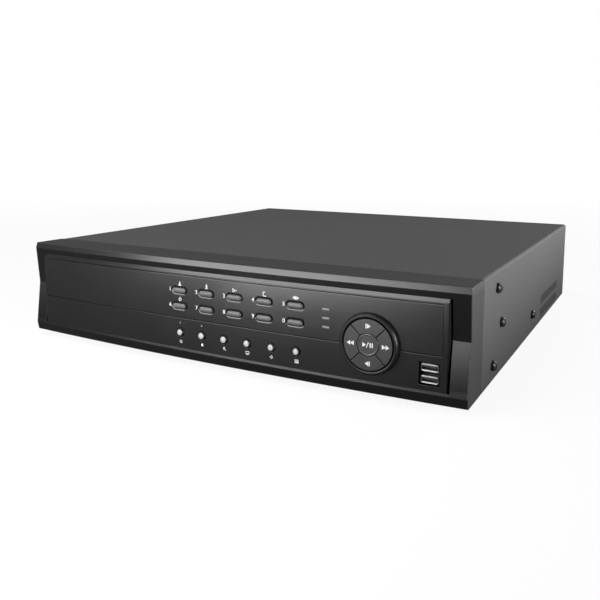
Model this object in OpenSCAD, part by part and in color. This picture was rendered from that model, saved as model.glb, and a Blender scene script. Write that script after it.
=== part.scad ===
// A two-unit video recorder for surveillance cameras, with a keypad front and a rear field of jacks.
// Each piece is drawn with x across the case, y back from the bezel's ends and z up from its floor.

/* [Case] */
// Width of the case over its side walls
case_w = 440; // [432:1:480]
// Depth from the bezel's ends to the back of the rear panel
case_d = 443.5; // [410:0.5:520]
// Height of the case without its feet
case_h = 88; // [86:0.5:100]
// Thickness of the steel sheet
sheet_t = 1; // [0.8:0.1:1.4]
// Outer radius of the cover's two long bends
bend_r = 3; // [2:0.25:5]
// Clearance between sheet parts that slide together
sheet_gap = 0.2; // [0.1:0.05:0.4]
// Height of the folded edges behind the rear panel
fold_h = 12; // [10:0.5:13]
// Height of the tray's low side flanges
flange_h = 26; // [24:1:40]
// Length of the tall front part of the side flanges
ear_l = 78; // [72:1:110]

/* [Feet] */
// Height of the rubber feet
foot_h = 6; // [5:0.5:12]
// Radius of the rubber feet
foot_r = 11; // [8:0.5:16]
// Distance of a foot's axis from the side of the case
foot_side = 45; // [30:1:60]
// Distance of a foot's axis from the front seam and from the rear
foot_end = 30; // [24:1:60]

/* [Bezel] */
// Depth of the bezel's ends, from the lower lip to the seam with the cover
bezel_d = 35.5; // [28:0.5:50]
// How far the front bows out between its ends
bow = 6; // [3:0.25:9]
// Wall of the bezel
bezel_wall = 2.5; // [2:0.1:3.5]
// How far the upper lip lies behind the lower lip
upper_set = 2.3; // [0:0.1:3]
// How far the top edge lies behind the upper lip
top_back = 1.6; // [0.5:0.1:4]
// Height of the slope above the upper lip
lip_top_h = 4.9; // [3:0.1:7]
// How far the bottom edge lies behind the lower lip
low_back = 1.6; // [0.5:0.1:4]
// Height of the slope below the lower lip
lip_low_h = 7.5; // [4:0.1:8]
// Depth of the V between the lips
valley_d = 5.3; // [4:0.1:7]
// Height of the bottom of the V
valley_z = 48; // [30:0.5:60]
// Width of the seam between the bezel and the cover
seam = 0.3; // [0.1:0.05:0.6]
// Size of the relief notch at the cover's lower front corners
notch = 5; // [3:0.5:8]

/* [Control panel] */
// Width of the bezel that shows at each end of the control panel
panel_end = 13.6; // [11:0.1:20]
// Height of the panel's lower edge
panel_z = 9.7; // [8.5:0.1:12]
// Distance from the top of the case to the panel's upper edge
panel_top = 9.7; // [6:0.1:11]
// How far the panel's face lies behind the lower lip
panel_set = 0.2; // [0:0.05:1]
// Front wall of the panel
panel_wall = 2.8; // [2.2:0.1:3.2]
// Side walls of the panel
panel_side = 2; // [1.5:0.1:3]
// Chamfer along the panel's upper edge
panel_chamfer = 2.7; // [1:0.1:3]
// Clearance around the panel in the bezel's opening
panel_gap = 0.15; // [0.1:0.05:0.4]
// Width of the fixing flange behind the bezel
panel_flange = 6.6; // [6:0.1:7]
// Thickness of the fixing flange
panel_flange_t = 2; // [1.5:0.25:3]

/* [Window] */
// Distance of the window from the panel's left end
window_left = 3.2; // [2:0.1:8]
// Distance of the window from the panel's right end
window_right = 5.3; // [2:0.1:8]
// Distance of the window from the panel's upper edge
window_top = 4; // [3:0.1:6]
// Height of the window
window_h = 37.5; // [36:0.1:39]
// Thickness of the window
window_t = 1.2; // [0.8:0.1:1.6]
// Clearance around the window
window_gap = 0.25; // [0.1:0.05:0.4]
// Bevel along the window's upper edge and under its lower edge
window_bevel = 0.5; // [0.2:0.05:0.8]

/* [Number keys] */
// Distance from the last column of number keys to the indicator bars
key_bar = 26.5; // [20:0.1:30]
// Distance between columns
key_pitch = 28.6; // [24:0.1:30]
// Distance from the panel's upper edge down to the upper row
key_drop = 17.6; // [16:0.1:20]
// Distance between the rows
key_row = 13.7; // [12:0.1:15]
// Width of a key hole
key_hole_w = 16.7; // [15:0.1:18]
// Height of a key hole
key_hole_h = 7.3; // [6:0.1:8]
// Width of a key cap
key_w = 14.4; // [12:0.1:15]
// Height of a key cap
key_h = 4.9; // [4:0.1:5.6]
// How far a cap stands out of the panel
key_proud = 1.6; // [0.8:0.1:3]
// Depth of the rounding round a cap's face
key_crown = 1.5; // [0.3:0.1:2]
// Half the height of the flat along the middle of a cap
key_flat = 0.5; // [0.2:0.1:1.2]

/* [Function keys] */
// Shift of the first function key from the first column of number keys
round_shift = 0.3; // [-5:0.1:5]
// Distance between function keys
round_pitch = 23; // [16:0.1:25]
// Height of the function keys
round_z = 23.6; // [19:0.1:25]
// Radius of a function key's hole
round_hole_r = 4.1; // [3.8:0.05:5]
// Radius of a function key's cap
round_r = 3.5; // [2.5:0.05:3.7]
// How far a function key stands out of the panel
round_proud = 1.6; // [0.8:0.1:3]

/* [Navigation pad] */
// Distance of the pad's centre from the panel's right end
nav_end = 60.5; // [56:0.1:66]
// Height of the pad's centre
nav_z = 38.6; // [36:0.1:44]
// Outer radius of the ring
ring_r = 23.5; // [22.6:0.1:25]
// Height of the ring's rounded crest
crest_h = 2.6; // [0.5:0.1:3]
// How far the ring's crest stands out of the panel, at its outer side
ring_proud = 4.8; // [3:0.1:5.5]
// How far the ring's seat is sunk into the panel, at its outer side
ring_sink = 0.3; // [0.2:0.05:0.5]
// Outer radius of the four segment keys
pad_r = 19.5; // [17:0.1:19.8]
// How far the segment keys stand out
pad_proud = 4.5; // [1:0.1:5]
// Width of the slots between the segment keys
pad_slot = 0.7; // [0.5:0.05:1.2]
// Radius of the centre key
play_r = 8.7; // [7:0.1:9.5]
// How far the centre key stands out
play_proud = 5; // [1:0.1:5.5]
// Clearance round the keys of the pad
nav_gap = 0.4; // [0.3:0.05:0.6]

/* [Key action] */
// Travel of every key
key_travel = 0.8; // [0.4:0.1:1.2]
// Distance a resting key's flange keeps from the panel
flange_rest = 0.2; // [0.1:0.05:0.4]
// Thickness of a key's flange
key_flange_t = 1; // [0.8:0.1:1.4]
// How far a key's flange reaches past its hole
key_flange = 1.2; // [0.8:0.1:1.6]
// Distance from a key's flange to its switch
stem_l = 4.3; // [4:0.1:6]
// Radius of a key's stem
stem_r = 1.6; // [1.2:0.1:1.8]
// Clearance round a stem in its switch
stem_gap = 0.25; // [0.15:0.05:0.35]
// Side of a switch body
switch_w = 6; // [5.5:0.1:7]
// Height of a switch body
switch_h = 3.5; // [3:0.1:5]

/* [Lights] */
// Radius of the light dots above the first function keys
dot_r = 0.7; // [0.5:0.05:1]
// Height of the light dots over the function keys
dot_rise = 8.7; // [7:0.1:9]
// Distance from the indicator bars to the pad's centre
bar_nav = 36.4; // [30:0.1:40]
// Width of an indicator bar
bar_w = 6; // [3:0.1:9]
// Height of an indicator bar
bar_h = 1.4; // [1:0.1:2.5]
// Distance from the panel's upper edge down to the middle indicator bar
bar_drop = 24.3; // [20:0.1:28]
// Distance between indicator bars
bar_pitch = 7.1; // [5:0.1:9]
// Clearance round a light
light_gap = 0.08; // [0.05:0.01:0.2]

/* [Front sockets] */
// Distance of the two sockets from the panel's right end
usb_end = 14.8; // [13:0.1:18]
// Height of the lower socket
usb_z = 17.7; // [17:0.1:20]
// Distance between the sockets
usb_pitch = 8.9; // [8:0.1:10]
// Width of a socket shell
usb_w = 13.1; // [12.9:0.1:13.5]
// Height of a socket shell
usb_h = 5.7; // [5.5:0.1:6]
// Sheet of a socket shell
usb_t = 0.4; // [0.3:0.05:0.5]
// How far the shells lie behind the panel's face
usb_set = 1; // [0:0.1:2]
// How far a shell's upper and lower lips flare out
usb_flare = 0.9; // [0.5:0.1:1]
// Clearance of the sockets in the panel
usb_gap = 1.2; // [0.3:0.1:1.4]

/* [Side screws] */
// Upper screw, back from the lips and up from the floor
screw_upper = [77.5, 74.2]; // [40:0.1:112]
// Middle screw
screw_middle = [95.5, 42.6]; // [40:0.1:112]
// Lower front screw
screw_lower = [69.2, 13.1]; // [10:0.1:112]
// Lower rear screw
screw_rear = [232.3, 18.9]; // [10:0.1:300]
// Radius of a side screw's head
side_head_r = 4.2; // [3:0.1:5]
// Height of a side screw's head
side_head_h = 4; // [2:0.1:5]
// Radius of a side screw's shank
side_shank_r = 2; // [1.5:0.1:2.5]
// Length of a side screw's shank
side_shank_l = 7; // [4:0.5:8]

/* [Small screws] */
// Radius of a small screw's shank
screw_r = 1.5; // [1.2:0.1:1.8]
// Radius of a small screw's head
head_r = 2.7; // [2.4:0.1:2.8]
// Height of a small screw's head
head_h = 1.9; // [1.4:0.1:2.4]
// Clearance round a screw's shank
screw_gap = 0.1; // [0.05:0.01:0.2]

/* [Side vents] */
// Start of the vent bands, back from the lips
vent_y = 283.5; // [240:0.5:290]
// Length of the vent bands
vent_l = 111; // [60:1:116]
// Heights of the lower edges of the two bands
vent_z = [4.6, 18.5]; // [3:0.1:60]
// Height of a vent slot
vent_h = 9; // [5:0.1:11]
// Width of a vent slot
vent_w = 1.8; // [1:0.1:2.5]
// Distance between vent slots
vent_pitch = 4; // [3:0.25:8]

/* [Boards] */
// Height of the main board above the tray
standoff_h = 10; // [9.5:0.5:12]
// Radius of a standoff
standoff_r = 2.8; // [2.4:0.1:3.5]
// Thickness of the boards
board_t = 1.6; // [1.2:0.1:2]
// Depth of the main board
board_d = 165; // [150:1:190]
// Distance of the main board from the rear panel
board_back = 4; // [3:0.5:8]
// Width of the ribbon cable
ribbon_w = 25; // [15:1:40]
// Thickness of the ribbon cable
ribbon_t = 0.9; // [0.6:0.1:1.5]
// Place of the ribbon cable
ribbon_x = 10; // [0:1:20]

/* [Rear jacks] */
// How far the video jacks stand out of the rear panel
jack_out = 17; // [13:0.5:20]
// Columns of video jacks
bnc_columns = 9; // [5:1:9]
// Distance between video jacks
bnc_pitch = 15.5; // [14.5:0.1:16]
// Height of the lower video jacks above the board
bnc_rise = 9.5; // [9:0.1:12]
// Distance between the two rows of video jacks
bnc_row = 17; // [15:0.1:18]
// Radius of a video jack's barrel
bnc_r = 4.83; // [4.7:0.01:4.9]
// Bore of a video jack's barrel
bnc_bore_r = 4.05; // [3.9:0.01:4.2]
// Radius of a video jack's neck
bnc_neck_r = 5.6; // [5.2:0.1:5.9]
// Radius of an audio jack's ring
rca_r = 4.15; // [4:0.01:4.3]
// Radius of an audio jack's centre bore
rca_bore_r = 1.65; // [1.6:0.01:1.75]
// How far the audio jacks stand out
rca_out = 9; // [7:0.5:12]
// Distance between the two audio jacks
rca_row = 14; // [12:0.1:16]
// Free space between neighbouring sockets
port_gap = 6; // [5:0.5:7]
// Distance of the outermost sockets from the rear panel's ends
rear_margin = 12; // [10:0.5:16]

/* [Mains] */
// Width of the mains inlet's flange
inlet_w = 31; // [30:0.5:34]
// Height of the mains inlet's flange
inlet_h = 24; // [23:0.5:27]
// Height of the inlet's centre
inlet_z = 28; // [26:0.5:32]
// Width of the inlet's well
well_w = 24.2; // [23.5:0.1:25]
// Height of the inlet's well
well_h = 16.6; // [16:0.1:17.5]
// Depth of the inlet's well
well_d = 16; // [12:0.5:20]
// Distance from the top of the case down to the power switch's centre
switch_drop = 26; // [24:0.5:28]
// Width of the rocker
rocker_w = 9; // [8:0.1:11]
// Radius that the rocker's ends swing in
rocker_r = 8.2; // [7:0.1:8.6]
// Swing of the rocker from one end to the other
rocker_swing = 20; // [10:1:24]
// Clearance round the rocker
rocker_gap = 0.4; // [0.3:0.05:0.6]
// Width of the power supply
psu_w = 72; // [60:1:80]
// Length of the power supply
psu_l = 140; // [110:1:150]
// Height of the power supply
psu_h = 58; // [45:1:66]
// Space between the power supply and the rear panel
psu_back = 50; // [46:1:60]

/* [Fan] */
// Side of the fan's frame
fan_w = 60; // [58:1:62]
// Depth of the fan's frame
fan_d = 15; // [14:0.5:20]
// Radius of the fan's duct
duct_r = 28.2; // [27:0.1:28.4]
// Radius of the rotor's hub
hub_r = 15; // [12:0.1:17]
// Clearance between the blades and the duct
blade_gap = 1; // [0.6:0.1:1.5]
// Number of blades
blade_n = 7; // [5:1:9]
// Distance between the fan's screws
fan_pitch = 50; // [49.5:0.1:50.5]
// Radius of the fan's shaft
shaft_r = 1.5; // [1.2:0.1:2]
// Wire radius of the finger guard
guard_r = 0.9; // [0.7:0.05:1.2]

/* [Drives] */
// Width of a hard drive
drive_w = 101.6; // [101:0.1:102]
// Length of a hard drive
drive_l = 147; // [140:0.5:150]
// Height of a hard drive
drive_h = 26.1; // [19:0.1:27]
// Distance of the drives from the bezel's lips
drive_y = 62; // [56:1:75]
// Free height under each drive
drive_lift = 8; // [6:0.5:10]
// Distance of the drive cage from the side flange
cage_side = 14; // [13:1:40]

/* [Hidden] */
$fn = 48;
cut = 1;
ROUND_KEYS = ["power_key", "alarm_key", "search_key", "display_key", "pan_tilt_key", "menu_key"];
NAV_KEYS = ["nav_key_right", "nav_key_up", "nav_key_left", "nav_key_down"];

// Plan arc of the bowed front: its radius, and a swing that reaches past both ends
bow_r = (case_w * case_w / 4 + bow * bow) / (2 * bow);
bow_turn = 2 * asin((case_w / 2 + panel_end) / bow_r);
bow_steps = 1440;
bow_front = -2 * bow;

// Sheet parts
inner_w = case_w - 2 * (sheet_t + sheet_gap);
inner_top = case_h - sheet_t - sheet_gap;
inner_r = bend_r - sheet_t;
panel_in = case_d - sheet_t;
fold_back = panel_in - sheet_gap;
fold_front = fold_back - sheet_t;
shank_hole_r = screw_r + screw_gap;

// Bezel outline, as height and depth from the floor up
bezel_front = [
  [0, low_back],
  [lip_low_h, 0],
  [valley_z, valley_d],
  [case_h - lip_top_h, upper_set],
  [case_h, upper_set + top_back]
];
bezel_inner_z = [bezel_wall, lip_low_h, valley_z, case_h - lip_top_h, case_h - bezel_wall];
bezel_boss_r = 4;
bezel_boss_l = 12;
bezel_boss_x = case_w / 2 - bezel_wall - bezel_boss_r + cut;
bezel_boss_end = 16;
bezel_boss_z = [bezel_boss_end, case_h - bezel_boss_end];

// Control panel and window
panel_w = case_w - 2 * panel_end;
panel_z1 = case_h - panel_top;
panel_back = panel_set + panel_wall;
panel_flange_y = valley_d + bezel_wall + panel_gap;
panel_rear = panel_flange_y + panel_flange_t;
panel_screw_x = panel_w / 2 + panel_flange / 2 + panel_gap;
panel_screw_end = 13;
panel_screw_z = [panel_z + panel_screw_end, panel_z1 - panel_screw_end];
panel_boss_r = 2.7;
window_x0 = -panel_w / 2 + window_left;
window_x1 = panel_w / 2 - window_right;
window_z = panel_z1 - window_top - window_h;

// Key action, front to back
key_flange_y = panel_back + flange_rest;
key_flange_back = key_flange_y + key_flange_t;
play_flange_y = key_flange_back + key_travel + nav_gap;
stem_in = 0.4;
switch_bore_d = stem_in + key_travel + stem_gap;
pad_hole_r = pad_r + nav_gap;
pad_in_r = play_r + nav_gap;
pad_flange_r = pad_hole_r + key_flange;
nav_x = panel_w / 2 - nav_end;
bar_x = nav_x - bar_nav;
bar_z = panel_z1 - bar_drop;
key_x = bar_x - key_bar - 4 * key_pitch;
key_z = panel_z1 - key_drop;
round_x = key_x + round_shift;
dot_z = round_z + dot_rise;
usb_x = panel_w / 2 - usb_end;
nav_y = seat(nav_x, pad_flange_r);
switch_y = nav_y + key_flange_back + stem_l;
keypad_y = switch_y + switch_h;
play_flange_r = pad_in_r + key_flange;
nav_stem_r = (pad_in_r + pad_r) / 2;
number_sites = [for (row = [0:1], col = [0:4]) [key_x + col * key_pitch, key_z - row * key_row]];
round_sites = [for (i = [0:5]) [round_x + i * round_pitch, round_z]];
nav_sites = [for (i = [0:3]) [nav_x + nav_stem_r * cos(90 * i), nav_z + nav_stem_r * sin(90 * i)]];
key_sites = concat(number_sites, round_sites, nav_sites, [[nav_x, nav_z]]);
number_reach = key_hole_w / 2 + key_flange;
round_reach = round_hole_r + key_flange;

// Overall reach, and the shift that puts the origin under the middle of the part
number_front = max([for (p = number_sites) key_proud - seat(p[0], number_reach)]);
round_front = max([for (p = round_sites) round_proud - seat(p[0], round_reach)]);
front_reach = max(number_front, round_front, max(ring_proud, play_proud) - nav_y, bow) - panel_set;
depth_mid = (case_d + jack_out - front_reach) / 2;

// Keypad board and its posts, which stand between the key columns
post_r = 3;
post_columns = [0.5, 2.5, 4.5];
post_z = [key_z + 10.5, (key_z - key_row + round_z) / 2];
post_sites = concat(
  [for (c = post_columns, z = post_z) [key_x + c * key_pitch, z]],
  [[nav_x + pad_flange_r + 3 * post_r, nav_z + 2 * post_r]]
);
keypad_x0 = key_x - key_pitch / 2 - post_r;
keypad_x1 = panel_w / 2 - panel_side - panel_gap;
keypad_z0 = panel_z + panel_side + 1;
keypad_z1 = panel_z1 - panel_side - panel_chamfer / 2 - 1;

// Sockets of the front
usb_y = panel_set + usb_set + seat(usb_x, usb_w / 2);
usb_hole_w = usb_w + 2 * usb_gap;
usb_hole_h = usb_pitch + usb_h + 2 * usb_gap;
usb_base_d = 3;
tongue_w = 11;
tongue_h = 1.9;

// Main board and the rear sockets along its edge
board_z = sheet_t + standoff_h;
board_top = board_z + board_t;
board_y1 = panel_in - board_back;
board_y0 = board_y1 - board_d;
port_y = panel_in - 0.3;
term_w = 31;
term_h = 12;
term_poles = 8;
lan_w = 16;
lan_h = 13.5;
hdmi_w = 15;
hdmi_h = 5.8;
vga_w = 31;
vga_h = 12.4;
rca_w = 11;
term_x = -inner_w / 2 + rear_margin + term_w / 2;
lan_x = term_x + (term_w + lan_w) / 2 + port_gap;
hdmi_x = lan_x + (lan_w + hdmi_w) / 2 + port_gap;
vga_x = hdmi_x + (hdmi_w + vga_w) / 2 + port_gap;
rca_x = vga_x + (vga_w + rca_w) / 2 + port_gap;
bnc_x = rca_x + (rca_w + bnc_pitch) / 2 + port_gap;
bnc_x1 = bnc_x + (bnc_columns - 1) * bnc_pitch;
bnc_z = board_top + bnc_rise;
bnc_sites = [for (c = [0:bnc_columns - 1], r = [0:1]) [bnc_x + c * bnc_pitch, bnc_z + r * bnc_row]];
bnc_hole_r = bnc_neck_r + 0.3;
bnc_tower_gap = 1;
bnc_tower_d = 20;
rca_z = board_top + 8;
rca_sites = [for (r = [0:1]) [rca_x, rca_z + r * rca_row]];
rca_hole_r = rca_r + 0.5;
vga_z = board_top + vga_h / 2 + 0.5;
vga_post_x = 12.5;
vga_post_r = 2.8;
hdmi_z = board_top + hdmi_h / 2 + 0.3;
lan_z = board_top + lan_h / 2 + 0.2;
socket_gap = 0.3;
fit = 0.05;
socket_out = 0.8;
term_out = 9;
board_x0 = -inner_w / 2 + rear_margin / 2;
board_x1 = bnc_x1 + bnc_pitch;
board_post_in = 6;
board_post_back = 40;
board_post_x = [board_x0 + board_post_in, (board_x0 + board_x1) / 2, board_x1 - board_post_in];
board_post_y = [board_y0 + board_post_in, board_y1 - board_post_back];
board_posts = [for (x = board_post_x, y = board_post_y) [x, y]];

// Chips sit on the main board, and the heat sink on the largest of them
cpu_w = 31;
cpu_h = 2.4;
cpu_side = 50;
cpu_front = 62;
cpu_x = (board_x0 + board_x1) / 2 - cpu_side;
cpu_y = board_y0 + cpu_front;
sink_w = 44;
sink_h = 20;
sink_base = 4;
sink_fin = 1.2;
sink_fins = 10;
header_h = 8;
header_d = 6;
header_y = board_y0 + 8;
memory_size = [13, 9, 1.2];
memory_pitch = 12;
memory_gap = 8;
decoder_size = [14, 14, 1.4];
decoder_back = 62;
cap_r = 5;
cap_h = 16;
cap_side = 24;
cap_front = 26;

// Ribbon route in depth and height, from the keypad's header to the main board's
ribbon_from = [keypad_y + board_t + header_d, 40];
ribbon_to = [header_y, board_top + header_h / 2];
ribbon_floor = sheet_t + ribbon_t + 1;
ribbon_window_end = 20;
ribbon_path = [
  ribbon_from,
  [bezel_d + 12, ribbon_from[1]],
  [bezel_d + 30, ribbon_floor],
  [ribbon_to[0] - 30, ribbon_floor],
  [ribbon_to[0] - 14, ribbon_to[1]],
  ribbon_to
];

// Mains parts and fan
inlet_x = inner_w / 2 - rear_margin - inlet_w / 2;
inlet_out = 2.5;
switch_z = case_h - switch_drop;
inlet_wall = 1.5;
inlet_back = 3;
pin_w = 2;
pin_h = 4;
pin_l = 14;
pin_tail = 7;
pin_pitch = 7;
pin_drop = 2;
rocker_y = panel_in - 1;
rocker_face = 5;
rocker_body = 3;
rocker_pin_r = 1.2;
rocker_pin_l = 1.2;
rocker_pin_gap = 0.1;
frame_wall = 1.8;
frame_out = 2;
frame_lip = 1.6;
frame_d = 16;
frame_w = rocker_w + 2 * (rocker_gap + frame_wall);
frame_h = 2 * (rocker_r + rocker_gap + frame_wall);
psu_x1 = inner_w / 2 - sheet_t - 6;
psu_y1 = panel_in - psu_back;
psu_y0 = psu_y1 - psu_l;
psu_vents = 9;
psu_screw_in = 12;
fan_x = inlet_x - inlet_w / 2 - port_gap - fan_w / 2;
fan_z = case_h / 2;
fan_y0 = panel_in - fan_d;
blade_r = duct_r - blade_gap;
strut_t = 3;
blade_y = strut_t + 1;
guard_leg_r = guard_r + 0.2;
guard_y = case_d + guard_leg_r;
guard_rings = [9, 15, 21, 27];
guard_eye_r = screw_r + screw_gap + guard_r;
fan_sites = [for (sx = [-1, 1], sz = [-1, 1]) [fan_x + sx * fan_pitch / 2, fan_z + sz * fan_pitch / 2]];

// Rear screws, the ground screw and the rear vents
rear_screw_in = 18;
rear_screw_x = [for (i = [0:3]) -inner_w / 2 + rear_screw_in + i * (inner_w - 2 * rear_screw_in) / 3];
rear_screw_z = [fold_h / 2, inner_top - fold_h / 2 + 1];
ground_site = [term_x, board_top + 2 * term_h + 10];
rear_vent_h = 11;
rear_vent_z = bnc_z + bnc_row + bnc_hole_r + 5;
rear_vent_n = floor((bnc_x1 - lan_x) / vent_pitch);

// Drives, cage and feet
cage_gap = 0.2;
cage_x = -inner_w / 2 + sheet_t + cage_side + drive_w / 2;
cage_h = 2 * (drive_h + drive_lift) + sheet_t;
cage_screw_y = [20, drive_l - 20];
drive_hole_y = [28, drive_l - 28];
drive_z = [for (i = [0:1]) 2 * sheet_t + drive_lift - 2 + i * (drive_h + drive_lift)];
foot_sites = [
  for (sx = [-1, 1], y = [bezel_d + foot_end, fold_front - foot_end])
    [sx * (case_w / 2 - foot_side), y]
];
foot_taper = 1.5;
foot_well_r = 4.5;
foot_well_d = 3.5;
side_sites = [screw_upper, screw_middle, screw_lower, screw_rear];

// Depth of the bezel's outer face at a height, before it is bowed
function bezel_y(z) = lookup(z, bezel_front);

// How far the bow carries the front out at a place across it
function bulge(x) = sqrt(bow_r * bow_r - x * x) - bow_r + bow;

// Shift of a piece that lies behind the bowed panel over a reach to either side, in whole hundredths
function seat(x, reach) = -floor(100 * bulge(abs(x) + reach)) / 100;

// Unit normal of a path at one of its points
function heading(p, i) = p[min(i + 1, len(p) - 1)] - p[max(i - 1, 0)];
function normal(p, i) = [-heading(p, i)[1], heading(p, i)[0]] / norm(heading(p, i));

// A band of even thickness along a path
function band(p, t) = concat(
  [for (i = [0:len(p) - 1]) p[i] + normal(p, i) * t / 2],
  [for (i = [len(p) - 1:-1:0]) p[i] - normal(p, i) * t / 2]
);

// Moves a piece from the drawing's datum to the part's own origin
module place() {
  translate([0, -depth_mid, foot_h]) children();
}

// A box between two corners
module block(low, high) {
  translate(low) cube(high - low);
}

// A profile drawn in depth and height, drawn out across the case
module across(w) {
  rotate([90, 0, 90]) linear_extrude(w, center = true) children();
}

// A profile drawn in depth and height, swung along the front's bow
module bowed() {
  translate([0, bow_r - bow, 0]) rotate(-90 - bow_turn / 2) rotate_extrude(angle = bow_turn, $fn = bow_steps)
    translate([bow_r, 0]) mirror([1, 0]) children();
}

// The part of a bowed slab between two depths, two places across and two heights, with a bevel at its upper front
module bowed_slab(depth, x, z, bevel = 0) {
  section = [
    [depth[0], z[0]],
    [depth[1], z[0]],
    [depth[1], z[1]],
    [depth[0] + bevel, z[1]],
    [depth[0], z[1] - bevel]
  ];
  intersection() {
    bowed() polygon(bevel > 0 ? section : [for (i = [0:3]) section[i]]);
    block([x[0], bow_front, z[0] - cut], [x[1], depth[1] + cut, z[1] + cut]);
  }
}

// A profile drawn in width and height, drawn out to the back
module back(d) {
  translate([0, d, 0]) rotate([90, 0, 0]) linear_extrude(d) children();
}

// A round bar that runs to the back
module rod(r, d) {
  rotate([-90, 0, 0]) cylinder(r = r, h = d);
}

// A turned piece whose profile is radius and length, with its axis to the back
module turned() {
  rotate([-90, 0, 0]) rotate_extrude() children();
}

// An outline with two round ends
module stadium(w, h) {
  square([w - h, h], center = true);
  for (s = [-1, 1]) translate([s * (w - h) / 2, 0]) circle(h / 2);
}

// An outline with its two upper corners rounded
module arched(w, h, r) {
  translate([-w / 2, 0]) square([w, h - r]);
  translate([-w / 2 + r, 0]) square([w - 2 * r, h]);
  for (s = [-1, 1]) translate([s * (w / 2 - r), h - r]) circle(r);
}

// A screw along +z with its seat at the origin, a low dome for a head and a cross recess
module screw(r, l, hr, hh) {
  difference() {
    union() {
      translate([0, 0, -l]) cylinder(r = r, h = l);
      rotate_extrude() polygon([[0, 0], [hr, 0], [hr, hh * 0.5], [hr * 0.7, hh * 0.9], [0, hh]]);
    }
    for (a = [0, 90])
      rotate(a) translate([-hr * 0.55, -hr * 0.1, hh * 0.5]) cube([hr * 1.1, hr * 0.2, hh]);
  }
}

module small_screw(l) {
  screw(screw_r, l, head_r, head_h);
}

// Small screws that point out of a face turned to the back
module back_screws(sites, y, l) {
  for (p = sites) translate([p[0], y, p[1]]) rotate([-90, 0, 0]) small_screw(l);
}

// Holes for such screws, through a wall that starts at y
module back_holes(sites, y, d) {
  for (p = sites) translate([p[0], y, p[1]]) rod(shank_hole_r, d);
}

bezel_sites = [for (sx = [-1, 1], z = bezel_boss_z) [sx * bezel_boss_x, z]];
panel_sites = [for (sx = [-1, 1], z = panel_screw_z) [sx * panel_screw_x, z]];
rear_low_sites = [for (x = rear_screw_x) [x, rear_screw_z[0]]];
rear_top_sites = [for (x = rear_screw_x) [x, rear_screw_z[1]]];

// Floor with a full front wall, low sides that rise to ears at the front, and pressed-in standoffs
module chassis_tray() {
  side_x = inner_w / 2;
  window_x = [ribbon_x - ribbon_w, ribbon_x + ribbon_w];
  color([0.7, 0.71, 0.72]) difference() {
    union() {
      block([-side_x, bezel_d, 0], [side_x, fold_back, sheet_t]);
      translate([0, bezel_d, 0]) back(sheet_t) arched(inner_w, inner_top, inner_r);
      block([-side_x, fold_front, 0], [side_x, fold_back, fold_h]);
      for (s = [0, 1]) mirror([s, 0, 0]) {
        block([side_x - sheet_t, bezel_d, 0], [side_x, fold_back, flange_h]);
        block([side_x - sheet_t, bezel_d, 0], [side_x, bezel_d + ear_l, case_h - bend_r - sheet_gap]);
      }
      for (p = board_posts) translate([p[0], p[1], 0]) cylinder(r = standoff_r, h = board_z);
    }
    block(
      [window_x[0], bezel_d - cut, ribbon_window_end],
      [window_x[1], bezel_d + 2 * sheet_t, inner_top - ribbon_window_end]
    );
    for (p = board_posts) translate([p[0], p[1], sheet_t]) cylinder(r = shank_hole_r, h = board_z);
    for (p = side_sites) translate([-side_x - cut, p[0], p[1]]) rotate([0, 90, 0])
      cylinder(r = side_shank_r + screw_gap, h = inner_w + 2 * cut);
    back_holes(bezel_sites, bezel_d - cut, sheet_t + 2 * cut);
    back_holes(rear_low_sites, fold_front - cut, sheet_t + 2 * cut);
    for (p = foot_sites) translate([p[0], p[1], -cut]) cylinder(r = shank_hole_r, h = sheet_t + 2 * cut);
    for (s = [-1, 1], y = cage_screw_y) translate([cage_x + s * drive_w / 4, drive_y + y, -cut])
      cylinder(r = shank_hole_r, h = sheet_t + 2 * cut);
    for (x = [psu_x1 - psu_screw_in, psu_x1 - psu_w + psu_screw_in])
      for (y = [psu_y0 + psu_screw_in, psu_y1 - psu_screw_in])
        translate([x, y, -cut]) cylinder(r = shank_hole_r, h = sheet_t + 2 * cut);
  }
}

// Flat plate with an opening for every socket, the fan and the mains parts
module rear_panel() {
  color([0.2, 0.2, 0.21]) difference() {
    translate([0, panel_in, 0]) back(sheet_t) arched(inner_w, inner_top, inner_r);
    translate([0, panel_in - cut, 0]) back(sheet_t + 2 * cut) {
      for (p = bnc_sites) translate(p) circle(bnc_hole_r);
      for (p = rca_sites) translate(p) circle(rca_hole_r);
      for (p = fan_sites) translate(p) circle(shank_hole_r);
      for (p = concat(rear_low_sites, rear_top_sites, [ground_site])) translate(p) circle(shank_hole_r);
      for (s = [-1, 1]) translate([vga_x + s * vga_post_x, vga_z]) circle(shank_hole_r);
      translate([vga_x, vga_z]) d_outline(2 * socket_gap);
      translate([hdmi_x, hdmi_z]) square([hdmi_w, hdmi_h] + 2 * [socket_gap, socket_gap], center = true);
      translate([lan_x, lan_z]) square([lan_w, lan_h] + 2 * [socket_gap, socket_gap], center = true);
      translate([term_x, board_top + term_h])
        square([term_w, 2 * term_h] + 2 * [socket_gap, socket_gap], center = true);
      translate([fan_x, fan_z]) circle(duct_r);
      translate([inlet_x, inlet_z])
        square([well_w, well_h] + 2 * [inlet_wall + socket_gap, inlet_wall + socket_gap], center = true);
      translate([inlet_x, switch_z]) square([frame_w, frame_h] + 2 * [socket_gap, socket_gap], center = true);
      for (i = [0:rear_vent_n - 1])
        translate([lan_x + i * vent_pitch, rear_vent_z]) square([vent_w, rear_vent_h]);
    }
  }
}

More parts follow.
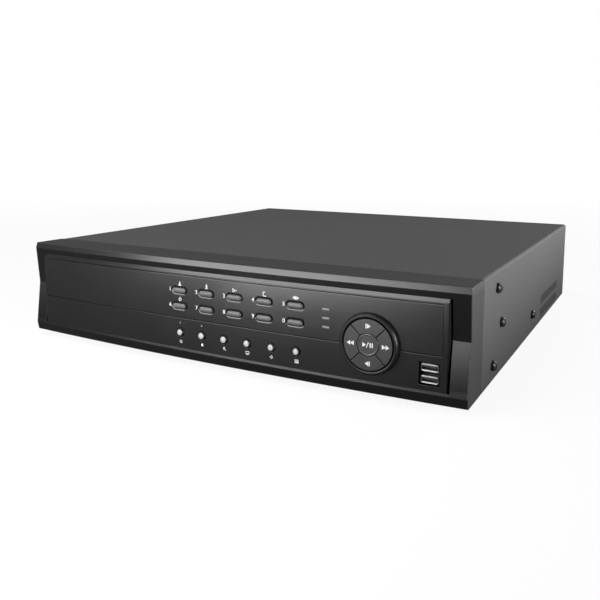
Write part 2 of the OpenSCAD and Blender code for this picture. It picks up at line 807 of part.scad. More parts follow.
// Wrap-around sheet with rounded long edges, a folded rear edge and fine vent slots on both sides
module top_cover() {
  y0 = bezel_d + seam;
  color([0.33, 0.33, 0.34]) difference() {
    union() {
      translate([0, y0, 0]) back(case_d - y0) difference() {
        arched(case_w, case_h, bend_r);
        translate([0, -cut]) arched(case_w - 2 * sheet_t, case_h - sheet_t + cut, bend_r - sheet_t);
      }
      block([-inner_w / 2 + bend_r, fold_front, case_h - fold_h], [inner_w / 2 - bend_r, fold_back, case_h - sheet_t / 2]);
    }
    for (p = side_sites) translate([-case_w / 2 - cut, p[0], p[1]]) rotate([0, 90, 0])
      cylinder(r = side_shank_r + 2 * screw_gap, h = case_w + 2 * cut);
    for (s = [-1, 1], z = vent_z, i = [0:floor(vent_l / vent_pitch) - 1])
      translate([s * case_w / 2 - bend_r, vent_y + i * vent_pitch, z]) cube([2 * bend_r, vent_w, vent_h]);
    for (s = [-1, 1]) translate([s * case_w / 2 - bend_r, y0 - cut, -cut])
      cube([2 * bend_r, cut + sheet_t, cut + notch]);
    back_holes(rear_top_sites, fold_front - cut, sheet_t + 2 * cut);
  }
}

// Hollow moulding, open at the back, with two lips, a shallow V and an opening for the control panel
module front_bezel() {
  rear = bezel_d + bow + 2 * cut;
  outer = concat([[rear, case_h], [rear, 0]], [for (p = bezel_front) [p[1], p[0]]]);
  inner = concat(
    [[rear, case_h - bezel_wall], [rear, bezel_wall]],
    [for (z = bezel_inner_z) [bezel_y(z) + bezel_wall, z]]
  );
  half = case_w / 2;
  inside = half - bezel_wall;
  hole_x = panel_w / 2 + panel_gap;
  color([0.12, 0.12, 0.13]) difference() {
    union() {
      difference() {
        intersection() {
          bowed() polygon(outer);
          block([-half, bow_front, -cut], [half, bezel_d, case_h + cut]);
        }
        intersection() {
          bowed() polygon(inner);
          block([-inside, bow_front, 0], [inside, bezel_d + cut, case_h]);
        }
        block([-hole_x, bow_front, panel_z - panel_gap], [hole_x, bezel_d / 2, panel_z1 + panel_gap]);
      }
      for (p = bezel_sites) translate([p[0], bezel_d - bezel_boss_l, p[1]]) rod(bezel_boss_r, bezel_boss_l);
      for (p = panel_sites) {
        boss_y = bezel_y(p[1]) + bezel_wall / 2 - bulge(p[0]);
        translate([p[0], boss_y, p[1]]) rod(panel_boss_r, panel_flange_y - boss_y);
      }
    }
    back_holes(bezel_sites, bezel_d - bezel_boss_l + bezel_wall, bezel_boss_l);
    back_holes(panel_sites, panel_flange_y - 3, 3 + cut);
  }
}

// Raised block with a chamfered upper edge, all the key openings, a flange and posts for the keypad board
module control_panel() {
  half = panel_w / 2;
  rear = panel_rear + bow + 2 * cut;
  section = [
    [panel_set, panel_z],
    [rear, panel_z],
    [rear, panel_z1],
    [panel_set + panel_chamfer, panel_z1],
    [panel_set, panel_z1 - panel_chamfer]
  ];
  sill_z = window_z - window_gap;
  sill = [
    [-cut, sill_z - window_bevel - panel_set - cut],
    [panel_set + window_bevel, sill_z],
    [panel_set + window_bevel, sill_z + window_bevel],
    [-cut, sill_z + window_bevel]
  ];
  color([0.2, 0.2, 0.21]) difference() {
    union() {
      difference() {
        union() {
          intersection() {
            bowed() polygon(section);
            block([-half, bow_front, 0], [half, panel_rear, case_h]);
          }
          block(
            [-half - panel_flange, panel_flange_y, panel_z - panel_flange / 2],
            [half + panel_flange, panel_rear, panel_z1 + panel_flange / 2]
          );
        }
        bowed_slab(
          [panel_back, rear],
          [-half + panel_side, half - panel_side],
          [panel_z + panel_side, panel_z1 - panel_side - panel_chamfer / 2]
        );
      }
      for (p = post_sites) {
        post_y = panel_back - bulge(p[0]) - cut;
        translate([p[0], post_y, p[1]]) rod(post_r, keypad_y - post_y);
      }
    }
    bowed_slab(
      [-cut, panel_set + window_t],
      [window_x0 - window_gap, window_x1 + window_gap],
      [window_z - window_gap, window_z + window_h + window_gap]
    );
    intersection() {
      bowed() polygon(sill);
      block([window_x0 - window_gap, bow_front, 0], [window_x1 + window_gap, panel_rear, case_h]);
    }
    translate([0, bow_front, 0]) back(panel_back - bow_front + cut) front_openings();
    translate([nav_x, bow_front, nav_z]) rod(ring_r + window_gap, panel_set + nav_y + ring_sink - bow_front);
    back_holes(post_sites, keypad_y - 5, 5 + cut);
    back_holes(panel_sites, panel_flange_y - cut, panel_flange_t + 2 * cut);
  }
}

// The outlines of every opening through the front
module front_openings() {
  for (p = number_sites) translate(p) stadium(key_hole_w, key_hole_h);
  for (p = round_sites) translate(p) circle(round_hole_r);
  translate([nav_x, nav_z]) circle(pad_hole_r);
  translate([usb_x, usb_z + usb_pitch / 2]) square([usb_hole_w, usb_hole_h], center = true);
  for (i = [0, 1]) translate([round_sites[i][0], dot_z]) circle(dot_r + light_gap);
  for (i = [-1:1]) translate([bar_x, bar_z + i * bar_pitch])
    square([bar_w, bar_h] + 2 * [light_gap, light_gap], center = true);
}

// Glossy sheet let into the upper half of the panel, cut out round the navigation ring
module panel_window() {
  color([0.16, 0.16, 0.17]) difference() {
    bowed_slab(
      [panel_set, panel_set + window_t],
      [window_x0, window_x1],
      [window_z, window_z + window_h],
      window_bevel
    );
    translate([0, bow_front, 0]) back(panel_back - bow_front + cut) front_openings();
    translate([nav_x, bow_front, nav_z]) rod(ring_r + window_gap, panel_back - bow_front + cut);
  }
}

// Two light dots and three indicator bars, led from the keypad board to the face
module status_lights() {
  color([0.75, 0.76, 0.74]) {
    for (i = [0, 1]) light(round_sites[i][0], dot_z, dot_r) circle(dot_r);
    for (i = [-1:1]) light(bar_x, bar_z + i * bar_pitch, bar_w / 2) square([bar_w, bar_h], center = true);
  }
}

// One light pipe with the given outline
module light(x, z, reach) {
  y = panel_set + seat(x, reach);
  translate([x, y, z]) back(keypad_y - y) children();
}

// Stem from a key's flange into its switch, for a key that is shifted by y
module stem(y) {
  start = key_flange_back - key_flange_t / 2;
  translate([0, start, 0]) rod(stem_r, switch_y + stem_in - y - start);
}

// Cap with round ends and a rounded face, on a flange that holds it behind the panel
module number_key(digit) {
  site = number_sites[(digit + 9) % 10];
  y0 = panel_set - key_proud;
  edge = key_h / 2;
  crown = [for (a = [90:-22.5:0]) [key_flat + (edge - key_flat) * cos(a), y0 + key_crown * (1 - sin(a))]];
  end_profile = concat([[0, y0]], crown, [[edge, key_flange_back], [0, key_flange_back]]);
  n = len(end_profile);
  outline = concat([for (i = [1:n - 2]) i], [for (i = [n - 2:-1:1]) n + i]);
  flange_z = key_hole_h / 2 + key_flange;
  color([0.36, 0.36, 0.37]) translate([site[0], seat(site[0], number_reach), site[1]]) {
    across(key_w - key_h) polygon([for (s = [1, -1], p = end_profile) [p[1], s * p[0]]], [outline]);
    for (s = [-1, 1]) translate([s * (key_w - key_h) / 2, 0, 0]) turned() polygon(end_profile);
    block([-number_reach, key_flange_y, -flange_z], [number_reach, key_flange_back, flange_z]);
    stem(seat(site[0], number_reach));
  }
}

// Round silver cap with an eased rim
module round_key(i) {
  site = round_sites[i];
  y0 = panel_set - round_proud;
  shift = seat(site[0], round_reach);
  ease = round_r * 0.2;
  profile = [
    [0, y0],
    [round_r - 2 * ease, y0 + ease * 0.2],
    [round_r - ease * 0.4, y0 + ease * 0.7],
    [round_r, y0 + ease * 1.6],
    [round_r, key_flange_y],
    [round_reach, key_flange_y],
    [round_reach, key_flange_back],
    [stem_r, key_flange_back],
    [stem_r, switch_y + stem_in - shift],
    [0, switch_y + stem_in - shift]
  ];
  color([0.83, 0.83, 0.83]) translate([site[0], shift, site[1]]) turned() polygon(profile);
}

// One quarter of the pad between two radii, kept half a slot away from its neighbours
module quarter(i, r0, r1, y, d) {
  reach = 2 * r1;
  apex = pad_slot / sqrt(2);
  translate([nav_x, nav_y + y, nav_z]) back(d) intersection() {
    difference() {
      circle(r1);
      circle(r0);
    }
    rotate(90 * i) polygon([[apex, 0], [apex + reach, -reach], [apex + reach, reach]]);
  }
}

// Segment key of the navigation pad, held by a wider quarter behind the panel
module nav_key(i) {
  color([0.15, 0.15, 0.16]) {
    quarter(i, pad_in_r, pad_r, panel_set - pad_proud, pad_proud + key_flange_back - panel_set);
    quarter(i, pad_in_r, pad_flange_r, key_flange_y, key_flange_t);
    translate([nav_sites[i][0], nav_y, nav_sites[i][1]]) stem(nav_y);
  }
}

// Centre key of the navigation pad
module play_key() {
  y0 = panel_set - play_proud;
  profile = [
    [0, y0 + 0.4],
    [play_r - 1.6, y0 + 0.4],
    [play_r - 1.2, y0],
    [play_r - 0.5, y0],
    [play_r, y0 + 0.6],
    [play_r, play_flange_y],
    [play_flange_r, play_flange_y],
    [play_flange_r, play_flange_y + key_flange_t],
    [stem_r, play_flange_y + key_flange_t],
    [stem_r, switch_y + stem_in - nav_y],
    [0, switch_y + stem_in - nav_y]
  ];
  color([0.14, 0.14, 0.15]) translate([nav_x, nav_y, nav_z]) turned() polygon(profile);
}

// Trim ring with a rounded crest, in a flat seat that is sunk into the bowed panel
module nav_ring() {
  mid_r = (pad_hole_r + ring_r) / 2;
  half = (ring_r - pad_hole_r) / 2;
  crest = [for (a = [180:-20:0]) [mid_r + half * cos(a), crest_h * (1 - sin(a)) - ring_proud]];
  profile = concat([[pad_hole_r, ring_sink]], crest, [[ring_r, ring_sink]]);
  color([0.17, 0.17, 0.18]) translate([nav_x, panel_set + nav_y, nav_z]) turned() polygon(profile);
}

// Two folded metal shells, each with a flared lip above and below its mouth
module usb_shells() {
  hole = [usb_w - 2 * usb_t, usb_h - 2 * usb_t];
  tube_y = usb_y + usb_flare;
  lip = [
    [0, usb_h / 2 - usb_t + usb_flare],
    [usb_flare, usb_h / 2 - usb_t],
    [2 * usb_flare, usb_h / 2 - usb_t],
    [2 * usb_flare, usb_h / 2],
    [usb_flare, usb_h / 2],
    [0, usb_h / 2 + usb_flare]
  ];
  color([0.8, 0.8, 0.81]) for (i = [0, 1]) translate([usb_x, 0, usb_z + i * usb_pitch]) {
    translate([0, tube_y, 0]) back(keypad_y - tube_y) difference() {
      square([usb_w, usb_h], center = true);
      square(hole, center = true);
    }
    for (s = [0, 1]) translate([0, usb_y, 0]) mirror([0, 0, s]) across(hole[0]) polygon(lip);
  }
}

// Insulators that close the shells and carry the contact tongues
module usb_tongues() {
  hole = [usb_w - 2 * usb_t, usb_h - 2 * usb_t];
  lift = hole[1] / 2 - tongue_h - 0.7;
  color([0.1, 0.1, 0.1]) for (i = [0, 1]) translate([usb_x, 0, usb_z + i * usb_pitch]) {
    translate([0, keypad_y - usb_base_d, 0]) back(usb_base_d) square(hole, center = true);
    block([-tongue_w / 2, usb_y + 1, lift], [tongue_w / 2, keypad_y - usb_base_d, lift + tongue_h]);
  }
}

// Board behind the panel, on the panel's posts, with the ribbon's header on its back
module keypad_board() {
  color([0.1, 0.35, 0.2]) difference() {
    block([keypad_x0, keypad_y, keypad_z0], [keypad_x1, keypad_y + board_t, keypad_z1]);
    back_holes(post_sites, keypad_y - cut, board_t + 2 * cut);
  }
}

// One low switch under each key, with a bore that its stem works in
module key_switches() {
  half = switch_w / 2;
  color([0.08, 0.08, 0.08]) for (p = key_sites) translate([p[0], 0, p[1]]) difference() {
    block([-half, switch_y, -half], [half, keypad_y, half]);
    translate([0, switch_y - cut, 0]) rod(stem_r + stem_gap, switch_bore_d + cut);
  }
}

// Flat cable with a plug at each end, from the keypad board along the floor to the main board
module ribbon_cable() {
  half = ribbon_w / 2 + 1;
  color([0.65, 0.65, 0.66]) translate([ribbon_x, 0, 0]) {
    across(ribbon_w) polygon(band(ribbon_path, ribbon_t));
    block(
      [-half, keypad_y + board_t, ribbon_from[1] - header_h / 2],
      [half, ribbon_from[0], ribbon_from[1] + header_h / 2]
    );
    block([-half, header_y, board_top], [half, header_y + header_d, board_top + header_h]);
  }
}

// Main board on the tray's standoffs
module main_board() {
  color([0.08, 0.3, 0.16]) difference() {
    block([board_x0, board_y0, board_z], [board_x1, board_y1, board_top]);
    for (p = board_posts) translate([p[0], p[1], board_z - cut]) cylinder(r = shank_hole_r, h = board_t + 2 * cut);
  }
}

// Finned block on the processor
module heat_sink() {
  z0 = board_top + cpu_h;
  step = (sink_w - sink_fin) / (sink_fins - 1);
  color([0.75, 0.76, 0.78]) translate([cpu_x - sink_w / 2, cpu_y - sink_w / 2, z0]) {
    cube([sink_w, sink_w, sink_base]);
    for (i = [0:sink_fins - 1]) translate([i * step, 0, 0]) cube([sink_fin, sink_w, sink_h]);
  }
}

// Processor, four memory chips in a row and four video decoders behind the video jacks
module board_chips() {
  color([0.07, 0.07, 0.08]) {
    translate([cpu_x - cpu_w / 2, cpu_y - cpu_w / 2, board_top]) cube([cpu_w, cpu_w, cpu_h]);
    for (i = [0:3]) {
      translate([cpu_x + sink_w / 2 + memory_gap, cpu_y - sink_w / 2 + memory_pitch * i, board_top])
        cube(memory_size);
      translate([bnc_x + (2 * i + 0.5) * bnc_pitch, board_y1 - decoder_back, board_top]) cube(decoder_size);
    }
  }
}

// Upright capacitors along the board's front edge
module capacitors() {
  color([0.15, 0.17, 0.22]) for (i = [0:5])
    translate([board_x1 - cap_side - 3 * cap_r * i, board_y0 + cap_front, board_top]) cylinder(r = cap_r, h = cap_h);
}

// Metal barrels of the video jacks, each with two bayonet lugs
module bnc_barrels() {
  l = case_d + jack_out - port_y;
  neck_l = 5;
  lug_r = 1.05;
  lug_out = 5.7;
  profile = [[bnc_bore_r, 0], [bnc_neck_r, 0], [bnc_neck_r, neck_l], [bnc_r, neck_l + 0.6], [bnc_r, l - 0.4],
    [bnc_r - 0.4, l], [bnc_bore_r, l]];
  color([0.78, 0.78, 0.76]) for (p = bnc_sites) translate([p[0], port_y, p[1]]) {
    turned() polygon(profile);
    for (s = [0, 180]) rotate([0, s, 0]) translate([bnc_r - 0.5, l - 6, 0]) rotate([0, 90, 0])
      cylinder(r = lug_r, h = lug_out - bnc_r + 0.5);
  }
}

// White insulators with the centre contact's bore
module bnc_insulators() {
  base_l = 9;
  l = case_d + jack_out - port_y - 3;
  profile = [[0, 0], [bnc_bore_r - 0.05, 0], [bnc_bore_r - 0.05, base_l], [2.5, base_l], [2.5, l], [0.75, l],
    [0.75, base_l - 3], [0, base_l - 3]];
  color([0.92, 0.92, 0.9]) for (p = bnc_sites) translate([p[0], port_y, p[1]]) turned() polygon(profile);
}

// Plastic towers that carry two barrels each
module bnc_housings() {
  w = bnc_pitch - bnc_tower_gap;
  color([0.09, 0.09, 0.09]) for (c = [0:bnc_columns - 1])
    block(
      [bnc_x + c * bnc_pitch - w / 2, port_y - bnc_tower_d, board_top],
      [bnc_x + c * bnc_pitch + w / 2, port_y, bnc_z + bnc_row + bnc_neck_r + bnc_tower_gap]
    );
}

// Metal rings of the two audio jacks
module rca_rings() {
  l = case_d + rca_out - port_y;
  color([0.8, 0.79, 0.74]) for (p = rca_sites) translate([p[0], port_y, p[1]]) difference() {
    rod(rca_r, l);
    translate([0, -cut, 0]) rod(rca_r - 0.7, l + 2 * cut);
  }
}

// Tower of the audio jacks, with a sleeve and a centre bore for each
module rca_housing() {
  l = case_d + rca_out - port_y - 0.5;
  color([0.75, 0.1, 0.1]) difference() {
    union() {
      block([rca_x - rca_w / 2, port_y - 12, board_top], [rca_x + rca_w / 2, port_y, rca_z + rca_row + 6]);
      for (p = rca_sites) translate([p[0], port_y - cut, p[1]]) rod(rca_r - 0.75, l + cut);
    }
    for (p = rca_sites) translate([p[0], port_y - 4, p[1]]) rod(rca_bore_r, l + 4 + cut);
  }
}

// The outline of a D-shaped socket, wider at the top, grown by a margin
module d_outline(grow) {
  w1 = 8.5 + grow / 2;
  w0 = 7.1 + grow / 2;
  h = 4.2 + grow / 2;
  polygon([[-w1, h], [w1, h], [w0, -h], [-w0, -h]]);
}

// Monitor socket: body on the board, D-shaped shell, insert with contact holes and two hex posts
module vga_port() {
  out = 6;
  body_d = 9;
  color([0.72, 0.73, 0.75]) translate([vga_x, 0, vga_z]) {
    translate([0, case_d, 0]) back(0.8) difference() {
      square([vga_w, vga_h], center = true);
      d_outline(0);
      for (s = [-1, 1]) translate([s * vga_post_x, 0]) circle(shank_hole_r);
    }
    translate([0, port_y + fit, 0]) back(case_d + out - port_y - fit) difference() {
      d_outline(0);
      d_outline(-1);
    }
    for (s = [-1, 1]) translate([s * vga_post_x, case_d + 0.8, 0]) difference() {
      union() {
        rotate([-90, 0, 0]) cylinder(r = vga_post_r, h = 4.5, $fn = 6);
        translate([0, -2.5, 0]) rod(screw_r, 3);
      }
      translate([0, cut, 0]) rod(screw_r - 0.4, 6);
    }
  }
  color([0.1, 0.2, 0.6]) translate([vga_x, 0, vga_z]) difference() {
    union() {
      block([-vga_w / 2, port_y - body_d, board_top - vga_z], [vga_w / 2, port_y, vga_h / 2]);
      translate([0, port_y - cut, 0]) back(case_d + out - 1 - port_y + cut) d_outline(-1.1);
    }
    for (row = [-1:1], i = [-2:2]) translate([(i + row * 0.25) * 2.3, case_d, row * 2]) rod(0.5, out);
    for (s = [-1, 1]) translate([s * vga_post_x, port_y - 4, 0]) rod(shank_hole_r, 4 + cut);
  }
}

// Digital monitor socket: folded shell with a tongue
module hdmi_port() {
  in = 10;
  t = 0.5;
  half = [hdmi_w / 2, hdmi_h / 2];
  y0 = panel_in - in;
  color([0.74, 0.75, 0.76]) translate([hdmi_x, y0, hdmi_z]) back(in + sheet_t + socket_out) difference() {
    square([hdmi_w, hdmi_h], center = true);
    square([hdmi_w - 2 * t, hdmi_h - 2 * t], center = true);
  }
  color([0.07, 0.07, 0.07]) translate([hdmi_x, y0, hdmi_z]) {
    block([-half[0] + t + fit, 0, -half[1] + t + fit], [half[0] - t - fit, 3, half[1] - t - fit]);
    block([-half[0] + 2, 3, 0], [half[0] - 2, in, 1.3]);
    block([-half[0], 0, board_top - hdmi_z], [half[0], in - 1, -half[1] - fit]);
  }
}

// Network socket: shell with a stepped opening for the plug and its latch
module network_port() {
  in = 18;
  depth = 14;
  y1 = case_d + socket_out;
  color([0.76, 0.77, 0.78]) translate([lan_x, 0, lan_z]) difference() {
    block([-lan_w / 2, panel_in - in, board_top - lan_z], [lan_w / 2, y1, lan_h / 2]);
    block([-5.95, y1 - depth, -3.6], [5.95, y1 + cut, 4.4]);
    block([-3, y1 - depth, -5.6], [3, y1 + cut, -3]);
  }
}

// Two stacked rows of alarm terminals with wire openings and screw holes
module terminal_blocks() {
  in = 12;
  y1 = case_d + term_out;
  pole = (term_w - 1) / term_poles;
  color([0.15, 0.5, 0.22]) for (row = [0, 1]) translate([term_x, 0, board_top + row * term_h]) difference() {
    block([-term_w / 2, panel_in - in, 0], [term_w / 2, y1, term_h - fit]);
    for (i = [0:term_poles - 1]) translate([(i - (term_poles - 1) / 2) * pole, y1, 0]) {
      block([-1.3, -7, 2], [1.3, cut, 5]);
      translate([0, -4, 8.6]) rod(1.3, 4 + cut);
    }
  }
}

// Power supply in a steel box, open through slots at its front
module power_supply() {
  pitch = (psu_w - 8) / psu_vents;
  color([0.66, 0.67, 0.68]) difference() {
    block([psu_x1 - psu_w, psu_y0, sheet_t], [psu_x1, psu_y1, sheet_t + psu_h]);
    block(
      [psu_x1 - psu_w + sheet_t, psu_y0 + sheet_t, 2 * sheet_t],
      [psu_x1 - sheet_t, psu_y1 - sheet_t, psu_h]
    );
    for (i = [0:psu_vents - 1])
      translate([psu_x1 - psu_w + 4 + i * pitch, psu_y0 - cut, 12]) cube([pitch / 2, sheet_t + 2 * cut, psu_h - 24]);
    for (x = [psu_x1 - psu_screw_in, psu_x1 - psu_w + psu_screw_in])
      for (y = [psu_y0 + psu_screw_in, psu_y1 - psu_screw_in])
        translate([x, y, 0]) cylinder(r = shank_hole_r, h = 3 * sheet_t);
  }
}

// Blades of the mains inlet: two live ones and the earth above them
pin_sites = [[-pin_pitch, -pin_drop], [pin_pitch, -pin_drop], [0, pin_drop]];

// Mains inlet: flange outside the panel, a well with two clipped corners, a floor that holds the blades
module mains_inlet() {
  outer = [well_w / 2 + inlet_wall, well_h / 2 + inlet_wall];
  y0 = case_d + inlet_out - well_d;
  clip = 4;
  color([0.07, 0.07, 0.07]) translate([inlet_x, 0, inlet_z]) difference() {
    union() {
      block([-inlet_w / 2, case_d, -inlet_h / 2], [inlet_w / 2, case_d + inlet_out, inlet_h / 2]);
      block([-outer[0], y0 - inlet_back, -outer[1]], [outer[0], case_d + inlet_out, outer[1]]);
    }
    translate([0, y0, 0]) back(well_d + cut) polygon([
      [-well_w / 2, -well_h / 2],
      [well_w / 2, -well_h / 2],
      [well_w / 2, well_h / 2 - clip],
      [well_w / 2 - clip, well_h / 2],
      [-well_w / 2 + clip, well_h / 2],
      [-well_w / 2, well_h / 2 - clip]
    ]);
    for (p = pin_sites)
      translate([p[0], y0 - inlet_back - cut, p[1]]) back(inlet_back + 2 * cut) square([pin_w, pin_h], center = true);
  }
}

module inlet_pins() {
  y0 = case_d + inlet_out - well_d;
  color([0.85, 0.78, 0.55]) for (p = pin_sites)
    translate([inlet_x + p[0], y0 - inlet_back - pin_tail, inlet_z + p[1]])
      back(pin_tail + inlet_back + pin_l) square([pin_w, pin_h], center = true);
}

// Housing of the power switch, with a pocket for the rocker and bearings for its pins
module switch_frame() {
  well = [rocker_w / 2 + rocker_gap, rocker_r + rocker_gap];
  color([0.08, 0.08, 0.08]) translate([inlet_x, 0, switch_z]) difference() {
    union() {
      block([-frame_w / 2, panel_in - frame_d, -frame_h / 2], [frame_w / 2, case_d, frame_h / 2]);
      block(
        [-frame_w / 2 - frame_lip, case_d, -frame_h / 2 - frame_lip],
        [frame_w / 2 + frame_lip, case_d + frame_out, frame_h / 2 + frame_lip]
      );
    }
    block([-well[0], rocker_y - rocker_r, -well[1]], [well[0], case_d + frame_out + cut, well[1]]);
    translate([-well[0] - rocker_pin_l - rocker_gap, rocker_y, 0]) rotate([0, 90, 0])
      cylinder(r = rocker_pin_r + rocker_pin_gap, h = 2 * (well[0] + rocker_pin_l + rocker_gap));
  }
}

// Rocker tipped to its on side, with a shallow V face and two short pins
module switch_rocker() {
  color([0.1, 0.1, 0.1]) translate([inlet_x, rocker_y, switch_z]) rotate([rocker_swing / 2, 0, 0]) {
    intersection() {
      across(rocker_w) polygon([
        [-rocker_body, -rocker_r],
        [rocker_face, -rocker_r],
        [rocker_face - 1.4, 0],
        [rocker_face, rocker_r],
        [-rocker_body, rocker_r]
      ]);
      rotate([0, 90, 0]) cylinder(r = rocker_r, h = rocker_w, center = true);
    }
    rotate([0, 90, 0]) cylinder(
      r = rocker_pin_r, h = rocker_w + 2 * (rocker_gap + rocker_pin_l), center = true
    );
  }
}

// Square fan frame with a round duct, four struts and a hub that carries the shaft
module fan_frame() {
  half = fan_w / 2;
  color([0.09, 0.09, 0.09]) translate([fan_x, fan_y0, fan_z]) {
    difference() {
      block([-half, 0, -half], [half, fan_d, half]);
      translate([0, -cut, 0]) rod(duct_r, fan_d + 2 * cut);
      for (sx = [-1, 1], sz = [-1, 1])
        translate([sx * fan_pitch / 2, -cut, sz * fan_pitch / 2]) rod(shank_hole_r, fan_d + 2 * cut);
    }
    difference() {
      union() {
        rod(hub_r, strut_t);
        for (a = [0, 90]) rotate([0, a, 0])
          block([-duct_r - 0.5, 0, -strut_t / 2], [duct_r + 0.5, strut_t, strut_t / 2]);
      }
      translate([0, -cut, 0]) rod(shaft_r + screw_gap, strut_t + 2 * cut);
    }
  }
}

// Cupped hub with a shaft and slanted blades
module fan_rotor() {
  blade_d = fan_d - blade_y - 1.5;
  blade_t = 1.3;
  color([0.1, 0.1, 0.1]) translate([fan_x, fan_y0, fan_z]) {
    translate([0, blade_y, 0]) rod(hub_r, fan_d - blade_y - 0.8);
    rod(shaft_r, blade_y + 1);
    intersection() {
      translate([0, blade_y, 0]) rod(blade_r, blade_d);
      for (i = [0:blade_n - 1]) rotate([0, 360 / blade_n * i, 0])
        translate([hub_r - 2, blade_y + blade_d / 2, 0]) rotate([50, 0, 0])
          block([0, -blade_t / 2, -blade_d], [blade_r, blade_t / 2, blade_d]);
    }
  }
}

// Wire finger guard over the fan: rings on a cross of wires that end in screw eyes
module fan_guard() {
  reach = fan_pitch / sqrt(2);
  leg_l = reach - guard_eye_r - guard_rings[0];
  color([0.75, 0.76, 0.78]) translate([fan_x, guard_y, fan_z]) {
    for (r = guard_rings) translate([0, guard_r, 0]) turned() translate([r, 0]) circle(guard_r, $fn = 24);
    for (a = [45:90:315]) rotate([0, a, 0]) {
      translate([guard_rings[0], 0, 0]) rotate([0, 90, 0]) rotate(-90) cylinder(r = guard_leg_r, h = leg_l);
      translate([reach, 0, 0]) turned() translate([guard_eye_r, 0]) circle(guard_r, $fn = 24);
    }
  }
}

// Channel on the tray's floor that holds the drives between its walls
module drive_cage() {
  in_x = drive_w / 2 + cage_gap;
  color([0.7, 0.71, 0.72]) translate([cage_x, drive_y, sheet_t]) difference() {
    union() {
      block([-in_x - sheet_t, 0, 0], [in_x + sheet_t, drive_l, sheet_t]);
      for (s = [0, 1]) mirror([s, 0, 0]) block([in_x, 0, 0], [in_x + sheet_t, drive_l, cage_h]);
    }
    for (s = [-1, 1], y = cage_screw_y)
      translate([s * drive_w / 4, y, -cut]) cylinder(r = shank_hole_r, h = sheet_t + 2 * cut);
    for (z = drive_z, y = drive_hole_y) translate([-in_x - 2 * sheet_t, y, z - sheet_t + drive_h / 4])
      rotate([0, 90, 0]) cylinder(r = shank_hole_r, h = 2 * in_x + 4 * sheet_t);
  }
}

// Two drives: a casting with a raised lid and tapped side holes
module hard_drives() {
  lid_t = 1;
  lid_in = 3;
  hole_d = 5;
  color([0.72, 0.73, 0.75]) for (z = drive_z) translate([cage_x, drive_y, z]) difference() {
    union() {
      block([-drive_w / 2, 0, 0], [drive_w / 2, drive_l, drive_h - lid_t]);
      block([-drive_w / 2 + lid_in, lid_in, 0], [drive_w / 2 - lid_in, drive_l - lid_in, drive_h]);
    }
    for (s = [-1, 1], y = drive_hole_y) translate([s * (drive_w / 2 - hole_d), y, drive_h / 4]) rotate([0, s * 90, 0])
      cylinder(r = shank_hole_r, h = hole_d + cut);
  }
}

// Black pan-head screws on both sides of the cover
module cover_screws() {
  color([0.05, 0.05, 0.05]) for (s = [-1, 1], p = side_sites)
    translate([s * case_w / 2, p[0], p[1]]) rotate([0, s * 90, 0])
      screw(side_shank_r, side_shank_l, side_head_r, side_head_h);
}

// All the small fixing screws
module small_screws() {
  color([0.2, 0.2, 0.2]) {
    back_screws(rear_low_sites, case_d, 4);
    back_screws(rear_top_sites, case_d, 4);
    back_screws([ground_site], case_d, 4);
    back_screws(bezel_sites, bezel_d + sheet_t, 7);
    back_screws(panel_sites, panel_flange_y + panel_flange_t, panel_flange_t + 2);
    back_screws(post_sites, keypad_y + board_t, board_t + 4);
    back_screws(fan_sites, guard_y + guard_leg_r, 10);
    for (p = board_posts) translate([p[0], p[1], board_top]) small_screw(board_t + 5);
    for (p = foot_sites) translate([p[0], p[1], foot_well_d - foot_h]) rotate([180, 0, 0])
      small_screw(foot_h - foot_well_d + sheet_t);
    for (s = [-1, 1], y = cage_screw_y)
      translate([cage_x + s * drive_w / 4, drive_y + y, 2 * sheet_t]) small_screw(2 * sheet_t);
    for (s = [-1, 1], z = drive_z, y = drive_hole_y)
      translate([cage_x + s * (drive_w / 2 + cage_gap + sheet_t), drive_y + y, z + drive_h / 4])
        rotate([0, s * 90, 0]) small_screw(4);
    for (x = [psu_x1 - psu_screw_in, psu_x1 - psu_w + psu_screw_in])
      for (y = [psu_y0 + psu_screw_in, psu_y1 - psu_screw_in])
        translate([x, y, 0]) rotate([180, 0, 0]) small_screw(2 * sheet_t);
  }
}

// Tapered rubber feet with a well for the screw's head
module rubber_feet() {
  profile = [
    [shank_hole_r, 0],
    [foot_r, 0],
    [foot_r - foot_taper, -foot_h],
    [foot_well_r, -foot_h],
    [foot_well_r, foot_well_d - foot_h],
    [shank_hole_r, foot_well_d - foot_h]
  ];
  color([0.06, 0.06, 0.06]) for (p = foot_sites) translate([p[0], p[1], 0]) rotate_extrude() polygon(profile);
}

place() chassis_tray();
place() rear_panel();
place() top_cover();
place() front_bezel();
place() control_panel();
place() panel_window();
place() status_lights();
place() nav_ring();
place() play_key();
place() usb_shells();
place() usb_tongues();
place() keypad_board();
place() key_switches();
place() ribbon_cable();
place() main_board();
place() heat_sink();
place() board_chips();
place() capacitors();
place() bnc_barrels();
place() bnc_insulators();
place() bnc_housings();
place() rca_rings();
place() rca_housing();
place() vga_port();
place() hdmi_port();
place() network_port();
place() terminal_blocks();
place() power_supply();
place() mains_inlet();
place() inlet_pins();
place() switch_frame();
place() switch_rocker();
place() fan_frame();
place() fan_rotor();
place() fan_guard();
place() drive_cage();
place() hard_drives();
place() cover_screws();
place() small_screws();
place() rubber_feet();
for (digit = [0:9]) place() number_key(digit);
for (i = [0:5]) place() round_key(i);
for (i = [0:3]) place() nav_key(i);
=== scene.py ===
import math

import bmesh
import bpy
from mathutils import Matrix, Vector


